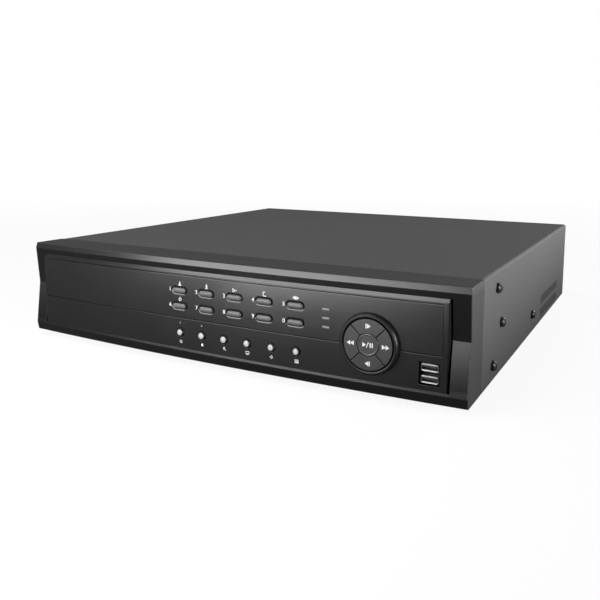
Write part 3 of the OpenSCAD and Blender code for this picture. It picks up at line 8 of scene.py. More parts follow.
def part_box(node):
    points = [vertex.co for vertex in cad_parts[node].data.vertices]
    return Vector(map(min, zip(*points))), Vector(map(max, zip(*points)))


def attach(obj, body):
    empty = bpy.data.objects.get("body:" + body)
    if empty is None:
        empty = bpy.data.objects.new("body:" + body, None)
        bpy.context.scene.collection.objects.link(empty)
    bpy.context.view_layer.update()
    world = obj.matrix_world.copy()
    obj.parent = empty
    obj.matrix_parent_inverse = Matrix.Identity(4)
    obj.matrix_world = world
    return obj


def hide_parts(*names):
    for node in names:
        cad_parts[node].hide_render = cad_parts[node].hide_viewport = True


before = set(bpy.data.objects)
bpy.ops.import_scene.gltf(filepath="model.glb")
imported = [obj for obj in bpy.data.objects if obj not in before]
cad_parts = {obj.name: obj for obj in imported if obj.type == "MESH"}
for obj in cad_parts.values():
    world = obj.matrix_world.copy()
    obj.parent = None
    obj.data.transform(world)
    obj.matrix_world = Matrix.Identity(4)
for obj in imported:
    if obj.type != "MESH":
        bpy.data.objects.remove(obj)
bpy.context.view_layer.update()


# Floor tray of the case: one zinc-plated steel sheet, folded up at its front and sides, with
# standoffs pressed into it. The drives' channel and the supply's box are folded from it too.
MM = 0.001


class Tap:
    """A socket of a finish. Sums and products of taps add their Math nodes."""

    def __init__(self, tree, socket=None):
        self.tree = tree
        self.socket = socket

    def node(self, kind, settings, links, out=0):
        """A new node, with its settings made first and its sockets set or linked."""
        made = self.tree.nodes.new("ShaderNode" + kind)
        for name, value in settings.items():
            setattr(made, name, value)
        for key, value in links.items():
            if isinstance(value, Tap):
                self.tree.links.new(value.socket, made.inputs[key])
            else:
                made.inputs[key].default_value = value
        return Tap(self.tree, made.outputs[out])

    def math(self, operation, first, second):
        return self.node("Math", {"operation": operation}, {0: first, 1: second})

    def __add__(self, other):
        return self.math("ADD", self, other)

    def __sub__(self, other):
        return self.math("SUBTRACT", self, other)

    def __rsub__(self, other):
        return self.math("SUBTRACT", other, self)

    def __mul__(self, other):
        return self.math("MULTIPLY", self, other)

    __radd__ = __add__
    __rmul__ = __mul__


def finish(name, **same_all_over):
    """A new material and its Object coordinates, with the sockets that don't vary."""
    material = bpy.data.materials.new(name)
    material.use_nodes = True
    shader = material.node_tree.nodes["Principled BSDF"]
    for socket, value in same_all_over.items():
        shader.inputs[socket.replace("_", " ")].default_value = value
    return material, Tap(material.node_tree).node("TexCoord", {}, {}, "Object")


def feed(material, sockets):
    """Links what varies over the surface into the finish's shader."""
    shader = material.node_tree.nodes["Principled BSDF"]
    for name, tap in sockets.items():
        material.node_tree.links.new(tap.socket, shader.inputs[name])


def noise(spot, scale, detail=2.0):
    """Soft cloudy values from 0 to 1, with scale in cycles per metre."""
    return spot.node("TexNoise", {}, {"Vector": spot, "Scale": scale, "Detail": detail})


def streaks(spot, scales, detail=2.0):
    """Cloudy values drawn out into brushed or rolled marks, with a scale for each axis."""
    drawn_out = spot.node("VectorMath", {"operation": "MULTIPLY"}, {0: spot, 1: scales})
    return noise(drawn_out, 1.0, detail)


def tint(factor, first, second):
    """A colour between two, which a Mix node takes at 6 and 7 and gives at 2."""
    return factor.node("Mix", {"data_type": "RGBA"}, {0: factor, 6: first, 7: second}, 2)


def relief(height, depth, strength=1.0, edge=None):
    """A bump of the given depth in metres, on top of eased edges where these are given."""
    links = {"Strength": strength, "Distance": depth, "Height": height}
    if edge is not None:
        links["Normal"] = edge
    return height.node("Bump", {}, links, "Normal")


def grey(level, blue=0.0):
    """A neutral colour, with a touch more blue where it is given."""
    return (level, level, level + blue, 1.0)


def wear(material, *nodes):
    """Puts a finish on CAD nodes in place of their plain one."""
    for name in nodes:
        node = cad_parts[name]
        node.data.materials.clear()
        node.data.materials.append(material)


zinc, spot = finish("zinc_steel", Metallic=1.0)
spangle = spot.node("TexVoronoi", {}, {"Vector": spot, "Scale": 110.0}, "Color")
leaf = spot.node("SeparateColor", {}, {0: spangle})
rolled = streaks(spot, scales=(900.0, 30.0, 900.0), detail=3.0)
feed(zinc, {
    "Base Color": tint(leaf * 0.6 + rolled * 0.4, grey(0.50, blue=0.01), grey(0.66, blue=0.01)),
    "Roughness": leaf * 0.14 + rolled * 0.12 + 0.27,
    "Normal": relief(rolled, depth=0.02 * MM, strength=0.4),
})
wear(zinc, "chassis_tray", "drive_cage", "power_supply")

# Two hard drives between the channel's walls, with cast aluminium bodies, and the extruded heat
# sink glued to the processor. The upright capacitors' cans are drawn from the same metal.
aluminium, spot = finish("bare_aluminium", Metallic=1.0)
cast = noise(spot, scale=2200.0, detail=4.0)
drawn = streaks(spot, scales=(60.0, 1400.0, 1400.0))
feed(aluminium, {
    "Base Color": tint(cast * 0.5 + drawn * 0.5, grey(0.52, blue=0.012), grey(0.70, blue=0.012)),
    "Roughness": cast * 0.2 + drawn * 0.1 + 0.28,
    "Normal": relief(cast, depth=0.05 * MM, strength=0.35),
})
wear(aluminium, "hard_drives", "heat_sink", "capacitors")

# Main board and keypad board: glass-fibre laminate under a green solder mask, with the tracks
# showing through it as lighter lines. Both are screwed down on standoffs.
MASK_GREEN = (0.008, 0.072, 0.034, 1.0)
TRACK_GREEN = (0.03, 0.19, 0.08, 1.0)
board, spot = finish("circuit_board", Specular_IOR_Level=0.5)
tracks = spot.node(
    "TexBrick",
    {"offset": 0.37, "squash": 1.6},
    {"Vector": spot, "Scale": 55.0, "Mortar Size": 0.035, "Mortar Smooth": 0.1},
    "Fac",
)
weave = noise(spot, scale=900.0)
feed(board, {
    "Base Color": tint(tracks * 0.7 + weave * 0.2, MASK_GREEN, TRACK_GREEN),
    "Roughness": weave * 0.15 + 0.25,
    "Normal": relief(tracks, depth=0.03 * MM, strength=0.5),
})
wear(board, "main_board", "keypad_board")


# Moulded black parts: chips, key switches, jack towers, the mains inlet, the power switch and the
# fan. All come from the same glass-filled nylon, with a fine spark-eroded skin.
def eased(spot, radius):
    """Normals that round the sharp edges of a moulding or a sheet."""
    return spot.node("Bevel", {"samples": 6}, {"Radius": radius})


def mottled(
    name, dark, light, rough, grain, detail=2.0, grain_rough=0.2, clouds=None, clouds_rough=0.1,
    share=0.5, depth=0.02 * MM, strength=0.3, ease=None, **same_all_over,
):
    """A finish that varies with a fine grain and, where they are given, with broad clouds.

    Both are in cycles per metre. They lead the colour from dark to light, with the clouds' share
    of it, and add to the roughness. The grain stands up as a bump, over edges eased by a radius.
    """
    material, spot = finish(name, **same_all_over)
    fine = noise(spot, grain, detail)
    shade = fine
    roughness = fine * grain_rough + rough
    if clouds:
        broad = noise(spot, clouds)
        shade = broad * share + fine * (1.0 - share)
        roughness = roughness + broad * clouds_rough
    feed(material, {
        "Base Color": tint(shade, dark, light),
        "Roughness": roughness,
        "Normal": relief(fine, depth, strength, eased(spot, ease) if ease else None),
    })
    return material


nylon = mottled(
    "black_plastic", dark=grey(0.010), light=grey(0.024), rough=0.38, grain=3200.0, detail=3.0,
    clouds=60.0, share=0.6, depth=0.03 * MM, Specular_IOR_Level=0.4,
)
wear(
    nylon, "board_chips", "key_switches", "bnc_housings", "mains_inlet", "switch_frame",
    "switch_rocker", "fan_frame", "fan_rotor", "usb_tongues",
)

# Ribbon cable from the keypad board to the main board: tinned wires side by side in grey vinyl,
# moulded in one flat strip, with a plug pressed on each end.
ribbon, spot = finish("ribbon", Specular_IOR_Level=0.4)
wires = spot.node(
    "TexWave",
    {"bands_direction": "X", "wave_profile": "SIN"},
    {"Vector": spot, "Scale": 250.0},
    "Fac",
)
dust = noise(spot, scale=500.0)
feed(ribbon, {
    "Base Color": tint(wires * 0.7 + dust * 0.3, grey(0.22), grey(0.40)),
    "Roughness": dust * 0.2 + 0.45,
    "Normal": relief(wires, depth=0.2 * MM, strength=0.6),
})
wear(ribbon, "ribbon_cable")

# Rear panel: a flat punched steel sheet in satin black paint, screwed to the folds of the tray and
# the cover.
rear_paint = mottled(
    "rear_paint", dark=grey(0.016), light=grey(0.030), rough=0.42, grain=1500.0, detail=3.0,
    clouds=25.0, depth=0.06 * MM, strength=0.35, Specular_IOR_Level=0.35,
)
wear(rear_paint, "rear_panel")

# Video jacks, audio rings, display and network shells and the fan's wire guard: turned or folded
# metal under bright nickel, dulled where plugs rub it.
nickel = mottled(
    "socket_steel", dark=(0.52, 0.51, 0.48, 1.0), light=(0.70, 0.69, 0.67, 1.0), rough=0.17,
    grain=700.0, detail=3.0, grain_rough=0.16, clouds=120.0, share=0.6, depth=0.01 * MM,
    Metallic=1.0,
)
wear(nickel, "bnc_barrels", "rca_rings", "vga_port", "hdmi_port", "network_port", "fan_guard")

# White insulators of the video jacks, turned from a waxy fluoropolymer and pressed into the
# barrels from behind.
insulator = mottled(
    "white_insulator", dark=(0.62, 0.61, 0.57, 1.0), light=(0.78, 0.77, 0.74, 1.0), rough=0.4,
    grain=900.0, Specular_IOR_Level=0.4,
)
wear(insulator, "bnc_insulators")

# Audio jack body, in red, and the two pluggable terminal blocks, in green: coloured mouldings that
# are soldered to the main board and reach through the rear panel.
coloured_mouldings = {
    "rca_housing": ("red_plastic", (0.30, 0.018, 0.016, 1.0), (0.42, 0.030, 0.026, 1.0)),
    "terminal_blocks": ("green_plastic", (0.020, 0.150, 0.045, 1.0), (0.035, 0.220, 0.070, 1.0)),
}
for node, (name, dark, light) in coloured_mouldings.items():
    moulding = mottled(
        name, dark, light, rough=0.34, grain=1800.0, grain_rough=0.18, Specular_IOR_Level=0.5,
    )
    wear(moulding, node)

# Blades of the mains inlet, stamped from brass strip and pressed into its body. The stamping has
# left fine marks along them.
brass, spot = finish("brass_pin", Metallic=1.0)
stamp = streaks(spot, scales=(800.0, 60.0, 800.0))
feed(brass, {
    "Base Color": tint(stamp, (0.58, 0.47, 0.24, 1.0), (0.74, 0.63, 0.36, 1.0)),
    "Roughness": stamp * 0.2 + 0.2,
    "Normal": relief(stamp, depth=0.01 * MM, strength=0.3),
})
wear(brass, "inlet_pins")


# Front bezel: a hollow moulding in black plastic, polished in front and grained matt at its sides,
# which are painted a lighter grey as a painted sheen. It has two lips and a shallow V at its ends,
# and is screwed to the tray from behind.
SIDE_FROM, SIDE_TO = 219.0 * MM, 219.9 * MM
POLISH_FROM = (17.0 * MM, 19.0 * MM)
POLISH_TO = (88.0 * MM, 88.8 * MM)
MATT_TOP = (93.2 * MM, 93.9 * MM)


def along(spot, axis):
    """One coordinate of a point or a direction."""
    return spot.node("SeparateXYZ", {}, {0: spot}, axis)


def span(value, low, high, to_low=0.0, to_high=1.0):
    """A smooth step from one level to another as the value goes from low to high."""
    return value.node(
        "MapRange",
        {"interpolation_type": "SMOOTHSTEP"},
        {"Value": value, "From Min": low, "From Max": high, "To Min": to_low, "To Max": to_high},
    )


def to_sides(across, low, high):
    """A smooth step on both sides of the middle, between two distances from it."""
    return span(across * across, low ** 2, high ** 2)


bezel, spot = finish("bezel_plastic", Specular_IOR_Level=0.5)
grain = noise(spot, scale=2600.0)
flow = noise(spot, scale=14.0)
matt_side_and_painted_sheen = to_sides(along(spot, "X"), SIDE_FROM, SIDE_TO)
height = along(spot, "Z")
matt = span(height, *MATT_TOP, 0.0, 0.55)
polish = span(height, *POLISH_FROM) * span(height, *POLISH_TO, 1.0, 0.0)
black = tint(flow * 0.6 + grain * 0.4, grey(0.002), grey(0.004))
# The sides' lighter grey is a painted sheen for the light they catch. Their matt grain is in the
# roughness.
feed(bezel, {
    "Base Color": tint(matt_side_and_painted_sheen, black, grey(0.030)),
    "Roughness": grain * 0.08 + flow * 0.06 + matt + matt_side_and_painted_sheen * 0.2 - polish * 0.08 + 0.19,
    "Normal": relief(grain, 0.03 * MM, 0.16, eased(spot, radius=0.45 * MM)),
})
wear(bezel, "front_bezel")

# Control panel: a raised block of the same black plastic with a finer skin, which carries every
# key, the light pipes and the front sockets. Its ends lean in to the face for the mould's draft.
END_X = 206.4 * MM
END_LEAN = 2.0 * MM
LEAN_DEPTH = 9.0 * MM
NEAR = 0.01 * MM
SHARP_ANGLE = math.radians(20)


def piece(name, bm, material, body):
    """A finished new piece that rides on a body."""
    mesh = bpy.data.meshes.new(name)
    bm.to_mesh(mesh)
    bm.free()
    mesh.materials.append(material)
    made = bpy.data.objects.new(name, mesh)
    bpy.context.scene.collection.objects.link(made)
    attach(made, body)
    return made


def merged_copy(node):
    """The mesh of a CAD node with its corners joined, ready to be changed."""
    bm = bmesh.new()
    bm.from_mesh(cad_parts[node].data)
    bmesh.ops.remove_doubles(bm, verts=bm.verts, dist=NEAR / 10)
    for face in bm.faces:
        face.smooth = True
    return bm


def stand_for(made, node):
    """Shades a changed copy by its own angles and hides the node that it stands for."""
    made.data.attributes.remove(made.data.attributes["custom_normal"])
    made.data.set_sharp_from_angle(angle=SHARP_ANGLE)
    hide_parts(node)


panel = mottled(
    "panel_plastic", dark=grey(0.005), light=grey(0.008), rough=0.18, grain=3000.0,
    grain_rough=0.08, clouds=18.0, clouds_rough=0.06, share=0.6, depth=0.03 * MM, strength=0.12,
    ease=0.3 * MM, Specular_IOR_Level=0.5,
)
block = merged_copy("control_panel")
ends = [corner for corner in block.verts if abs(abs(corner.co.x) - END_X) < NEAR]
ends_y = min(corner.co.y for corner in ends)
for corner in ends:
    lean = END_LEAN * max(0.0, 1.0 - (corner.co.y - ends_y) / LEAN_DEPTH)
    corner.co.x -= math.copysign(lean, corner.co.x)
stand_for(piece("control_panel_block", block, panel, "case"), "control_panel")

# Window: a smoked acrylic sheet with a polished bevel along its top, let into the upper half of
# the panel and glued there. Wiping has left faint level streaks on it.
BEVEL_Z = (79.5 * MM, 79.9 * MM)
window, spot = finish("window_plastic", Specular_IOR_Level=0.5)
wipe = streaks(spot, scales=(26.0, 26.0, 90.0), detail=3.0)
fleck = noise(spot, scale=1600.0)
satin = span(along(spot, "Z"), *BEVEL_Z, 0.20, 0.02)
feed(window, {
    "Base Color": tint(wipe * 0.7 + fleck * 0.3, grey(0.005), grey(0.008)),
    "Roughness": wipe * 0.06 + fleck * 0.04 + satin,
    "Normal": relief(wipe, 0.02 * MM, 0.15, eased(spot, radius=0.7 * MM)),
})
wear(window, "panel_window")

# Light pipes: moulded in clear plastic and frosted at their ends, led from the keypad board to two
# dots and three small bars in the panel.
frosted = mottled(
    "light_pipe", dark=grey(0.15), light=grey(0.20), rough=0.4, grain=4000.0,
    Specular_IOR_Level=0.5,
)
wear(frosted, "status_lights")


# Ten number keys: caps with rounded crowns in a satin grey coat, which work in slots with round
# ends.
# Below the crown their colour turns black, a painted shade for the caps' sides in the slot.
BOW_R = 4036.3 * MM
FACE_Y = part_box("panel_window")[0].y
PAINTED_SIDE_SHADE = grey(0.010)


def behind_face(spot):
    """How far a point lies behind the bowed front, in metres."""
    x = along(spot, "X")
    return along(spot, "Y") - x * x * (0.5 / BOW_R) - FACE_Y


def coated_cap(name, dark, light, painted_shade_depths, rough, grain, thumb, depth, ease, **same_all_over):
    """A finish for a cap with a coat on its crown, which gives way to painted shade between two
    depths.
    """
    material, spot = finish(name, Specular_IOR_Level=0.5, **same_all_over)
    fine = noise(spot, grain)
    handled = noise(spot, thumb)
    coat = tint(handled * 0.5 + fine * 0.5, dark, light)
    # Behind the crown the coat gives way to black, a painted shade for the cap's sides and its
    # slot.
    feed(material, {
        "Base Color": tint(span(behind_face(spot), *painted_shade_depths), coat, PAINTED_SIDE_SHADE),
        "Roughness": fine * 0.12 + handled * 0.10 + rough,
        "Normal": relief(fine, depth, 0.2, eased(spot, ease)),
    })
    return material


number_keys = [f"number_key_{digit}" for digit in range(10)]
key_grey = coated_cap(
    "key_grey", dark=grey(0.052), light=grey(0.074), painted_shade_depths=(-0.9 * MM, -0.3 * MM), rough=0.30,
    grain=3600.0, thumb=160.0, depth=0.02 * MM, ease=0.25 * MM,
)
wear(key_grey, *number_keys)

# Six function keys: small round caps with a silver coat on their faces, turning black below it as a
# painted shade for their sides. Each works in a round hole under the window.
key_silver = coated_cap(
    "key_silver", dark=grey(0.33), light=grey(0.41), painted_shade_depths=(-1.4 * MM, -1.2 * MM), rough=0.32,
    grain=4200.0, thumb=260.0, depth=0.01 * MM, ease=0.3 * MM, Metallic=0.35,
)
wear(
    key_silver, "power_key", "alarm_key", "search_key", "display_key", "pan_tilt_key", "menu_key",
)

# Navigation pad: a rounded trim ring, four segment keys and a centre key with a raised rim, all
# moulded in black plastic. The keys are satin, and the centre key is paler and more polished.
PAD_GRAIN = 3400.0
nav_black = mottled(
    "nav_black", dark=grey(0.012), light=grey(0.022), rough=0.28, grain=PAD_GRAIN,
    grain_rough=0.10, clouds=90.0, clouds_rough=0.08, strength=0.15, ease=0.35 * MM,
    Specular_IOR_Level=0.5,
)
wear(nav_black, "nav_key_right", "nav_key_up", "nav_key_left", "nav_key_down")
play_black = mottled(
    "play_black", dark=grey(0.040), light=grey(0.052), rough=0.16, grain=PAD_GRAIN,
    grain_rough=0.06, clouds=120.0, clouds_rough=0.06, strength=0.10, ease=0.5 * MM,
    Specular_IOR_Level=0.5,
)
wear(play_black, "play_key")
ring_black = mottled(
    "ring_black", dark=grey(0.003), light=grey(0.006), rough=0.30, grain=PAD_GRAIN,
    grain_rough=0.08, clouds=40.0, clouds_rough=0.06, strength=0.15, ease=0.35 * MM,
    Specular_IOR_Level=0.3,
)
wear(ring_black, "nav_ring")

# Printing on the front: a plain digit beside each number key, screen-printed in white ink on the
# bowed window.
INK_T = 0.02 * MM
DIGIT_H = 4.7 * MM
DIGIT_BOLD = 0.06 * MM
DIGIT_LEFT = 10.4 * MM
DIGIT_RISE = 0.3 * MM
TO_FRONT = Matrix.Rotation(math.radians(90), 4, "X")


def face_y(x):
    """Where the bowed face lies in depth, at a place across it."""
    return FACE_Y + BOW_R - math.sqrt(BOW_R * BOW_R - x * x)


def on_face(x, z):
    """Where a mark drawn flat goes: on the bowed face, turned to follow it."""
    turn = Matrix.Rotation(math.asin(x / BOW_R), 4, "Z")
    return Matrix.Translation((x, face_y(x), z)) @ turn @ TO_FRONT


def centre(node):
    """The middle of a CAD node at rest."""
    low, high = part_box(node)
    return (low + high) / 2


ink, spot = finish("white_ink", Specular_IOR_Level=0.3)
screen = noise(spot, scale=5200.0)
feed(ink, {
    "Base Color": tint(screen, grey(0.54), grey(0.68)),
    "Roughness": screen * 0.2 + 0.5,
})
digits = bmesh.new()
for digit, node in enumerate(number_keys):
    letter = bpy.data.curves.new("digit", "FONT")
    letter.body = str(digit)
    letter.size = DIGIT_H
    letter.extrude = INK_T
    letter.offset = DIGIT_BOLD
    letter.align_x = "CENTER"
    letter.align_y = "CENTER"
    stand_in = bpy.data.objects.new("digit", letter)
    bpy.context.scene.collection.objects.link(stand_in)
    shape = bpy.data.meshes.new_from_object(
        stand_in.evaluated_get(bpy.context.evaluated_depsgraph_get())
    )
    key = centre(node)
    shape.transform(on_face(key.x - DIGIT_LEFT, key.z + DIGIT_RISE))
    digits.from_mesh(shape)
    bpy.data.objects.remove(stand_in)
    bpy.data.curves.remove(letter)
    bpy.data.meshes.remove(shape)
piece("digit_marks", digits, ink, "case")

# Rims of the number keys' slots: shallow chamfers of the window's own acrylic, which lead a finger
# to the cap. Each is a ring with round ends, let into its slot and glued there.
SLOT_W = 16.7 * MM
SLOT_H = 7.3 * MM
RIM_W = 0.55 * MM
RIM_SINK = 0.18 * MM
RIM_DEPTH = 0.9 * MM
RIM_FIT = 0.02 * MM
END_STEPS = 16


def slot_edge(inset):
    """Points round a slot with half-round ends, moved in from its edge by the inset."""
    radius = SLOT_H / 2 - inset
    points = []
    for end, start in ((1, -90.0), (-1, 90.0)):
        middle = end * (SLOT_W - SLOT_H) / 2
        for step in range(END_STEPS + 1):
            turn = math.radians(start + 180.0 * step / END_STEPS)
            points.append((middle + radius * math.cos(turn), radius * math.sin(turn)))
    return points


polished, spot = finish("polished_edge", Specular_IOR_Level=0.6)
scuff = noise(spot, scale=2800.0)
feed(polished, {
    "Base Color": tint(scuff, grey(0.006), grey(0.010)),
    "Roughness": scuff * 0.08 + 0.09,
})
rim_profile = [(RIM_FIT, 0.0), (RIM_W, RIM_SINK), (RIM_W, RIM_DEPTH), (RIM_FIT, RIM_DEPTH)]
rims = bmesh.new()
for node in number_keys:
    key = centre(node)
    loops = []
    for inset, sink in rim_profile:
        corners = [
            rims.verts.new((key.x + x, face_y(key.x + x) + sink, key.z + z))
            for x, z in slot_edge(inset)
        ]
        loops.append([
            rims.edges.new((corners[i - 1], corners[i])) for i in range(len(corners))
        ])
    for loop, following in zip(loops, loops[1:] + loops[:1]):
        bmesh.ops.bridge_loops(rims, edges=loop + following)
bmesh.ops.recalc_face_normals(rims, faces=rims.faces)
piece("slot_rims", rims, polished, "case")


# Signs above the number keys and under the function keys: small plain pictograms in the same ink,
# each made of a few flat outlines in millimetres and printed on the face.
SIGN_RISE = 6.2 * MM
SIGN_DROP = 7.9 * MM
SIGN_SHIFT = 0.5 * MM
ARC_STEPS = 16
ARROW_REACH = 0.8


def thickened(flat, way):
    """Makes closed plates of flat faces, which a copy of them moved this way completes."""
    copied = bmesh.ops.extrude_face_region(flat, geom=flat.faces[:])["geom"]
    moved = [part for part in copied if isinstance(part, bmesh.types.BMVert)]
    bmesh.ops.translate(flat, verts=moved, vec=way)
    bmesh.ops.recalc_face_normals(flat, faces=flat.faces)


def print_sign(bm, outlines, place):
    """Lays a thin printed sign that is made of the given outlines."""
    flat = bmesh.new()
    for outline in outlines:
        flat.faces.new([flat.verts.new((x * MM, y * MM, -INK_T)) for x, y in outline])
    bmesh.ops.remove_doubles(flat, verts=flat.verts, dist=INK_T / 4)
    thickened(flat, (0, 0, 2 * INK_T))
    bmesh.ops.transform(flat, matrix=place, verts=flat.verts)
    shape = bpy.data.meshes.new("sign")
    flat.to_mesh(shape)
    flat.free()
    bm.from_mesh(shape)
    bpy.data.meshes.remove(shape)


def arc(x, y, radius, start=0.0, end=360.0):
    """Points along a circle, between two angles in degrees."""
    turns = [math.radians(start + (end - start) * i / ARC_STEPS) for i in range(ARC_STEPS + 1)]
    return [(x + radius * math.cos(turn), y + radius * math.sin(turn)) for turn in turns]


def band(outer, inner):
    """The outlines of a line between two paths that run side by side."""
    return [[outer[i], outer[i + 1], inner[i + 1], inner[i]] for i in range(len(outer) - 1)]


def hoop(x, y, radius, width, start=0.0, end=360.0):
    """The outlines of a drawn circle or of a part of it."""
    return band(
        arc(x, y, radius + width / 2, start, end), arc(x, y, radius - width / 2, start, end),
    )


def dot(x, y, radius):
    """A filled circle."""
    return arc(x, y, radius)[:-1]


def bar(x, width, height, y=0.0):
    """An upright or level bar."""
    return [
        (x - width / 2, y - height / 2), (x + width / 2, y - height / 2),
        (x + width / 2, y + height / 2), (x - width / 2, y + height / 2),
    ]


def arrow(x, size, way):
    """A triangle that points left or right."""
    return [(x, -way * size / 2), (x + way * ARROW_REACH * size, 0.0), (x, way * size / 2)]


def frame_line(outer, inner):
    """The outlines of a closed line between two outlines with as many corners."""
    return band(outer + outer[:1], inner + inner[:1])


number_signs = {
    "number_key_1": [
        [(-0.8, 0.4), (0.8, 0.4), (0.0, 2.0)],
        [(-1.7, -1.9), (1.7, -1.9), (0.5, 0.1), (-0.5, 0.1)],
    ],
    "number_key_2": [
        dot(0.0, 1.6, 0.55),
        [(-0.45, -0.3), (-1.2, -2.0), (-0.6, -2.0), (0.0, -0.8), (0.6, -2.0), (1.2, -2.0),
         (0.45, -0.3), (0.45, 0.3), (1.3, 0.3), (1.3, 0.8), (-1.3, 0.8), (-1.3, 0.3),
         (-0.45, 0.3)],
    ],
    "number_key_3": [
        *frame_line(
            [(-2.0, -1.8), (0.9, 0.0), (-2.0, 1.8)], [(-1.5, -0.95), (0.0, 0.0), (-1.5, 0.95)],
        ),
        bar(1.7, 0.9, 0.8),
    ],
    "number_key_4": [
        [(-1.4, -1.9), (1.4, -1.9), (1.4, -1.3), (-0.8, -1.3), (-0.8, 1.3), (0.8, 1.3),
         (0.8, 1.9), (-1.4, 1.9)],
    ],
    "number_key_5": [arrow(-0.8, 2.8, -1), bar(0.0, 0.8, 2.8), arrow(0.8, 2.8, 1)],
    "number_key_6": [*hoop(0.0, -0.4, 1.2, 0.55), bar(0.0, 0.6, 0.9, 1.6)],
}
function_signs = {
    "power_key": [*hoop(0.0, -0.1, 1.15, 0.45, 125.0, 415.0), bar(0.0, 0.45, 1.2, 0.9)],
    "alarm_key": [
        [(-1.4, -0.8), (1.4, -0.8), (0.9, -0.1), (0.8, 0.8), (0.35, 1.3), (-0.35, 1.3),
         (-0.8, 0.8), (-0.9, -0.1)],
        bar(0.0, 0.8, 0.4, -1.2),
    ],
    "search_key": [
        *hoop(-0.35, 0.35, 0.9, 0.45),
        [(0.35, -0.65), (1.25, -1.55), (1.6, -1.2), (0.7, -0.3)],
    ],
    "display_key": [
        *frame_line(bar(0.0, 3.6, 2.2, 0.3), bar(0.0, 2.8, 1.4, 0.3)),
        bar(0.0, 2.0, 0.4, -1.3),
    ],
    "pan_tilt_key": [
        arrow(-0.6, 1.3, -1), arrow(0.6, 1.3, 1),
        [(-0.65, 0.6), (0.65, 0.6), (0.0, 1.64)], [(-0.65, -0.6), (0.0, -1.64), (0.65, -0.6)],
    ],
    "menu_key": [bar(0.0, 3.6, 0.55, rise) for rise in (-1.1, 0.0, 1.1)],
}
pictograms = bmesh.new()
for signs, rise in ((number_signs, SIGN_RISE), (function_signs, -SIGN_DROP)):
    for node, outlines in signs.items():
        key = centre(node)
        print_sign(pictograms, outlines, on_face(key.x + SIGN_SHIFT, key.z + rise))
piece("key_marks", pictograms, ink, "case")

# Signs of the navigation pad: step, wind and play arrows in the same ink, printed on the keys that
# they move with. The centre key's sign lies in the hollow of its face.
SIGN = 3.6
SIGN_BAR = 0.9
SIGN_R = 14.3 * MM
PLAY_DISH = 0.4 * MM
nav_signs = {
    "nav_key_up": (0.0, SIGN_R, 0.0, [bar(-1.5, SIGN_BAR, SIGN), arrow(-0.7, SIGN, 1)]),
    "nav_key_down": (0.0, -SIGN_R, 0.0, [arrow(0.7, SIGN, -1), bar(1.5, SIGN_BAR, SIGN)]),
    "nav_key_left": (-SIGN_R, 0.0, 0.0, [arrow(0.1, SIGN, -1), arrow(3.0, SIGN, -1)]),
    "nav_key_right": (SIGN_R, 0.0, 0.0, [arrow(-3.0, SIGN, 1), arrow(-0.1, SIGN, 1)]),
    "play_key": (0.0, 0.0, PLAY_DISH, [
        arrow(-4.2, SIGN, 1), [(-1.3, -2.1), (-0.7, -2.1), (0.9, 2.1), (0.3, 2.1)],
        bar(2.1, SIGN_BAR, SIGN), bar(3.7, SIGN_BAR, SIGN),
    ]),
}
pad = centre("play_key")
for node, (shift, rise, dish, outlines) in nav_signs.items():
    place = Matrix.Translation((pad.x + shift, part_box(node)[0].y + dish, pad.z + rise))
    sign = bmesh.new()
    print_sign(sign, outlines, place @ TO_FRONT)
    piece(node.replace("key", "sign"), sign, ink, node)

# Front sockets: two shells folded from tinned steel sheet and soldered to the keypad board. Their
# upper and lower edges are turned to the front as lips, and behind the lips and towards their sides
# the shells are painted dark, a painted shade inside them.
SHELL_H = 5.7 * MM
FLARE = 0.9 * MM
NECK_Y = 1.0 * MM
FLARED_Y = 0.1 * MM
LIP_T = 0.12 * MM
LIP_SHORT = 0.8 * MM
LIP_SQUEEZE = 0.74
SHADE_BEHIND_LIPS = (0.2 * MM, 0.5 * MM)
SHADE_TO_SIDES = (6.0 * MM, 6.2 * MM)
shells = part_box("usb_shells")
socket = centre("usb_shells")
tin, spot = finish("socket_tin", Metallic=0.45, Specular_IOR_Level=0.5)
rub = noise(spot, scale=900.0, detail=3.0)
# Painted shade: darker behind the lips and towards the shells' sides.
inside = span(along(spot, "Y") - shells[0].y, *SHADE_BEHIND_LIPS)
painted_shade_in_shell = inside + to_sides(along(spot, "X") - socket.x, *SHADE_TO_SIDES)
feed(tin, {
    "Base Color": tint(painted_shade_in_shell, tint(rub, grey(0.54), grey(0.66)), grey(0.12)),
    "Roughness": rub * 0.16 + 0.24,
    "Normal": relief(rub, depth=0.01 * MM, strength=0.3),
})
half_pitch = (shells[1].z - shells[0].z - SHELL_H - 2 * FLARE) / 2
folded = merged_copy("usb_shells")
for corner in folded.verts:
    shell_z = socket.z + math.copysign(half_pitch, corner.co.z - socket.z)
    behind_lip = corner.co.y - shells[0].y
    if behind_lip < NECK_Y:
        corner.co.z = shell_z + (corner.co.z - shell_z) * LIP_SQUEEZE
        if behind_lip > FLARED_Y:
            corner.co.y = shells[0].y + LIP_T
        else:
            corner.co.x -= math.copysign(LIP_SHORT, corner.co.x - socket.x)
stand_for(piece("socket_shells", folded, tin, "case"), "usb_shells")

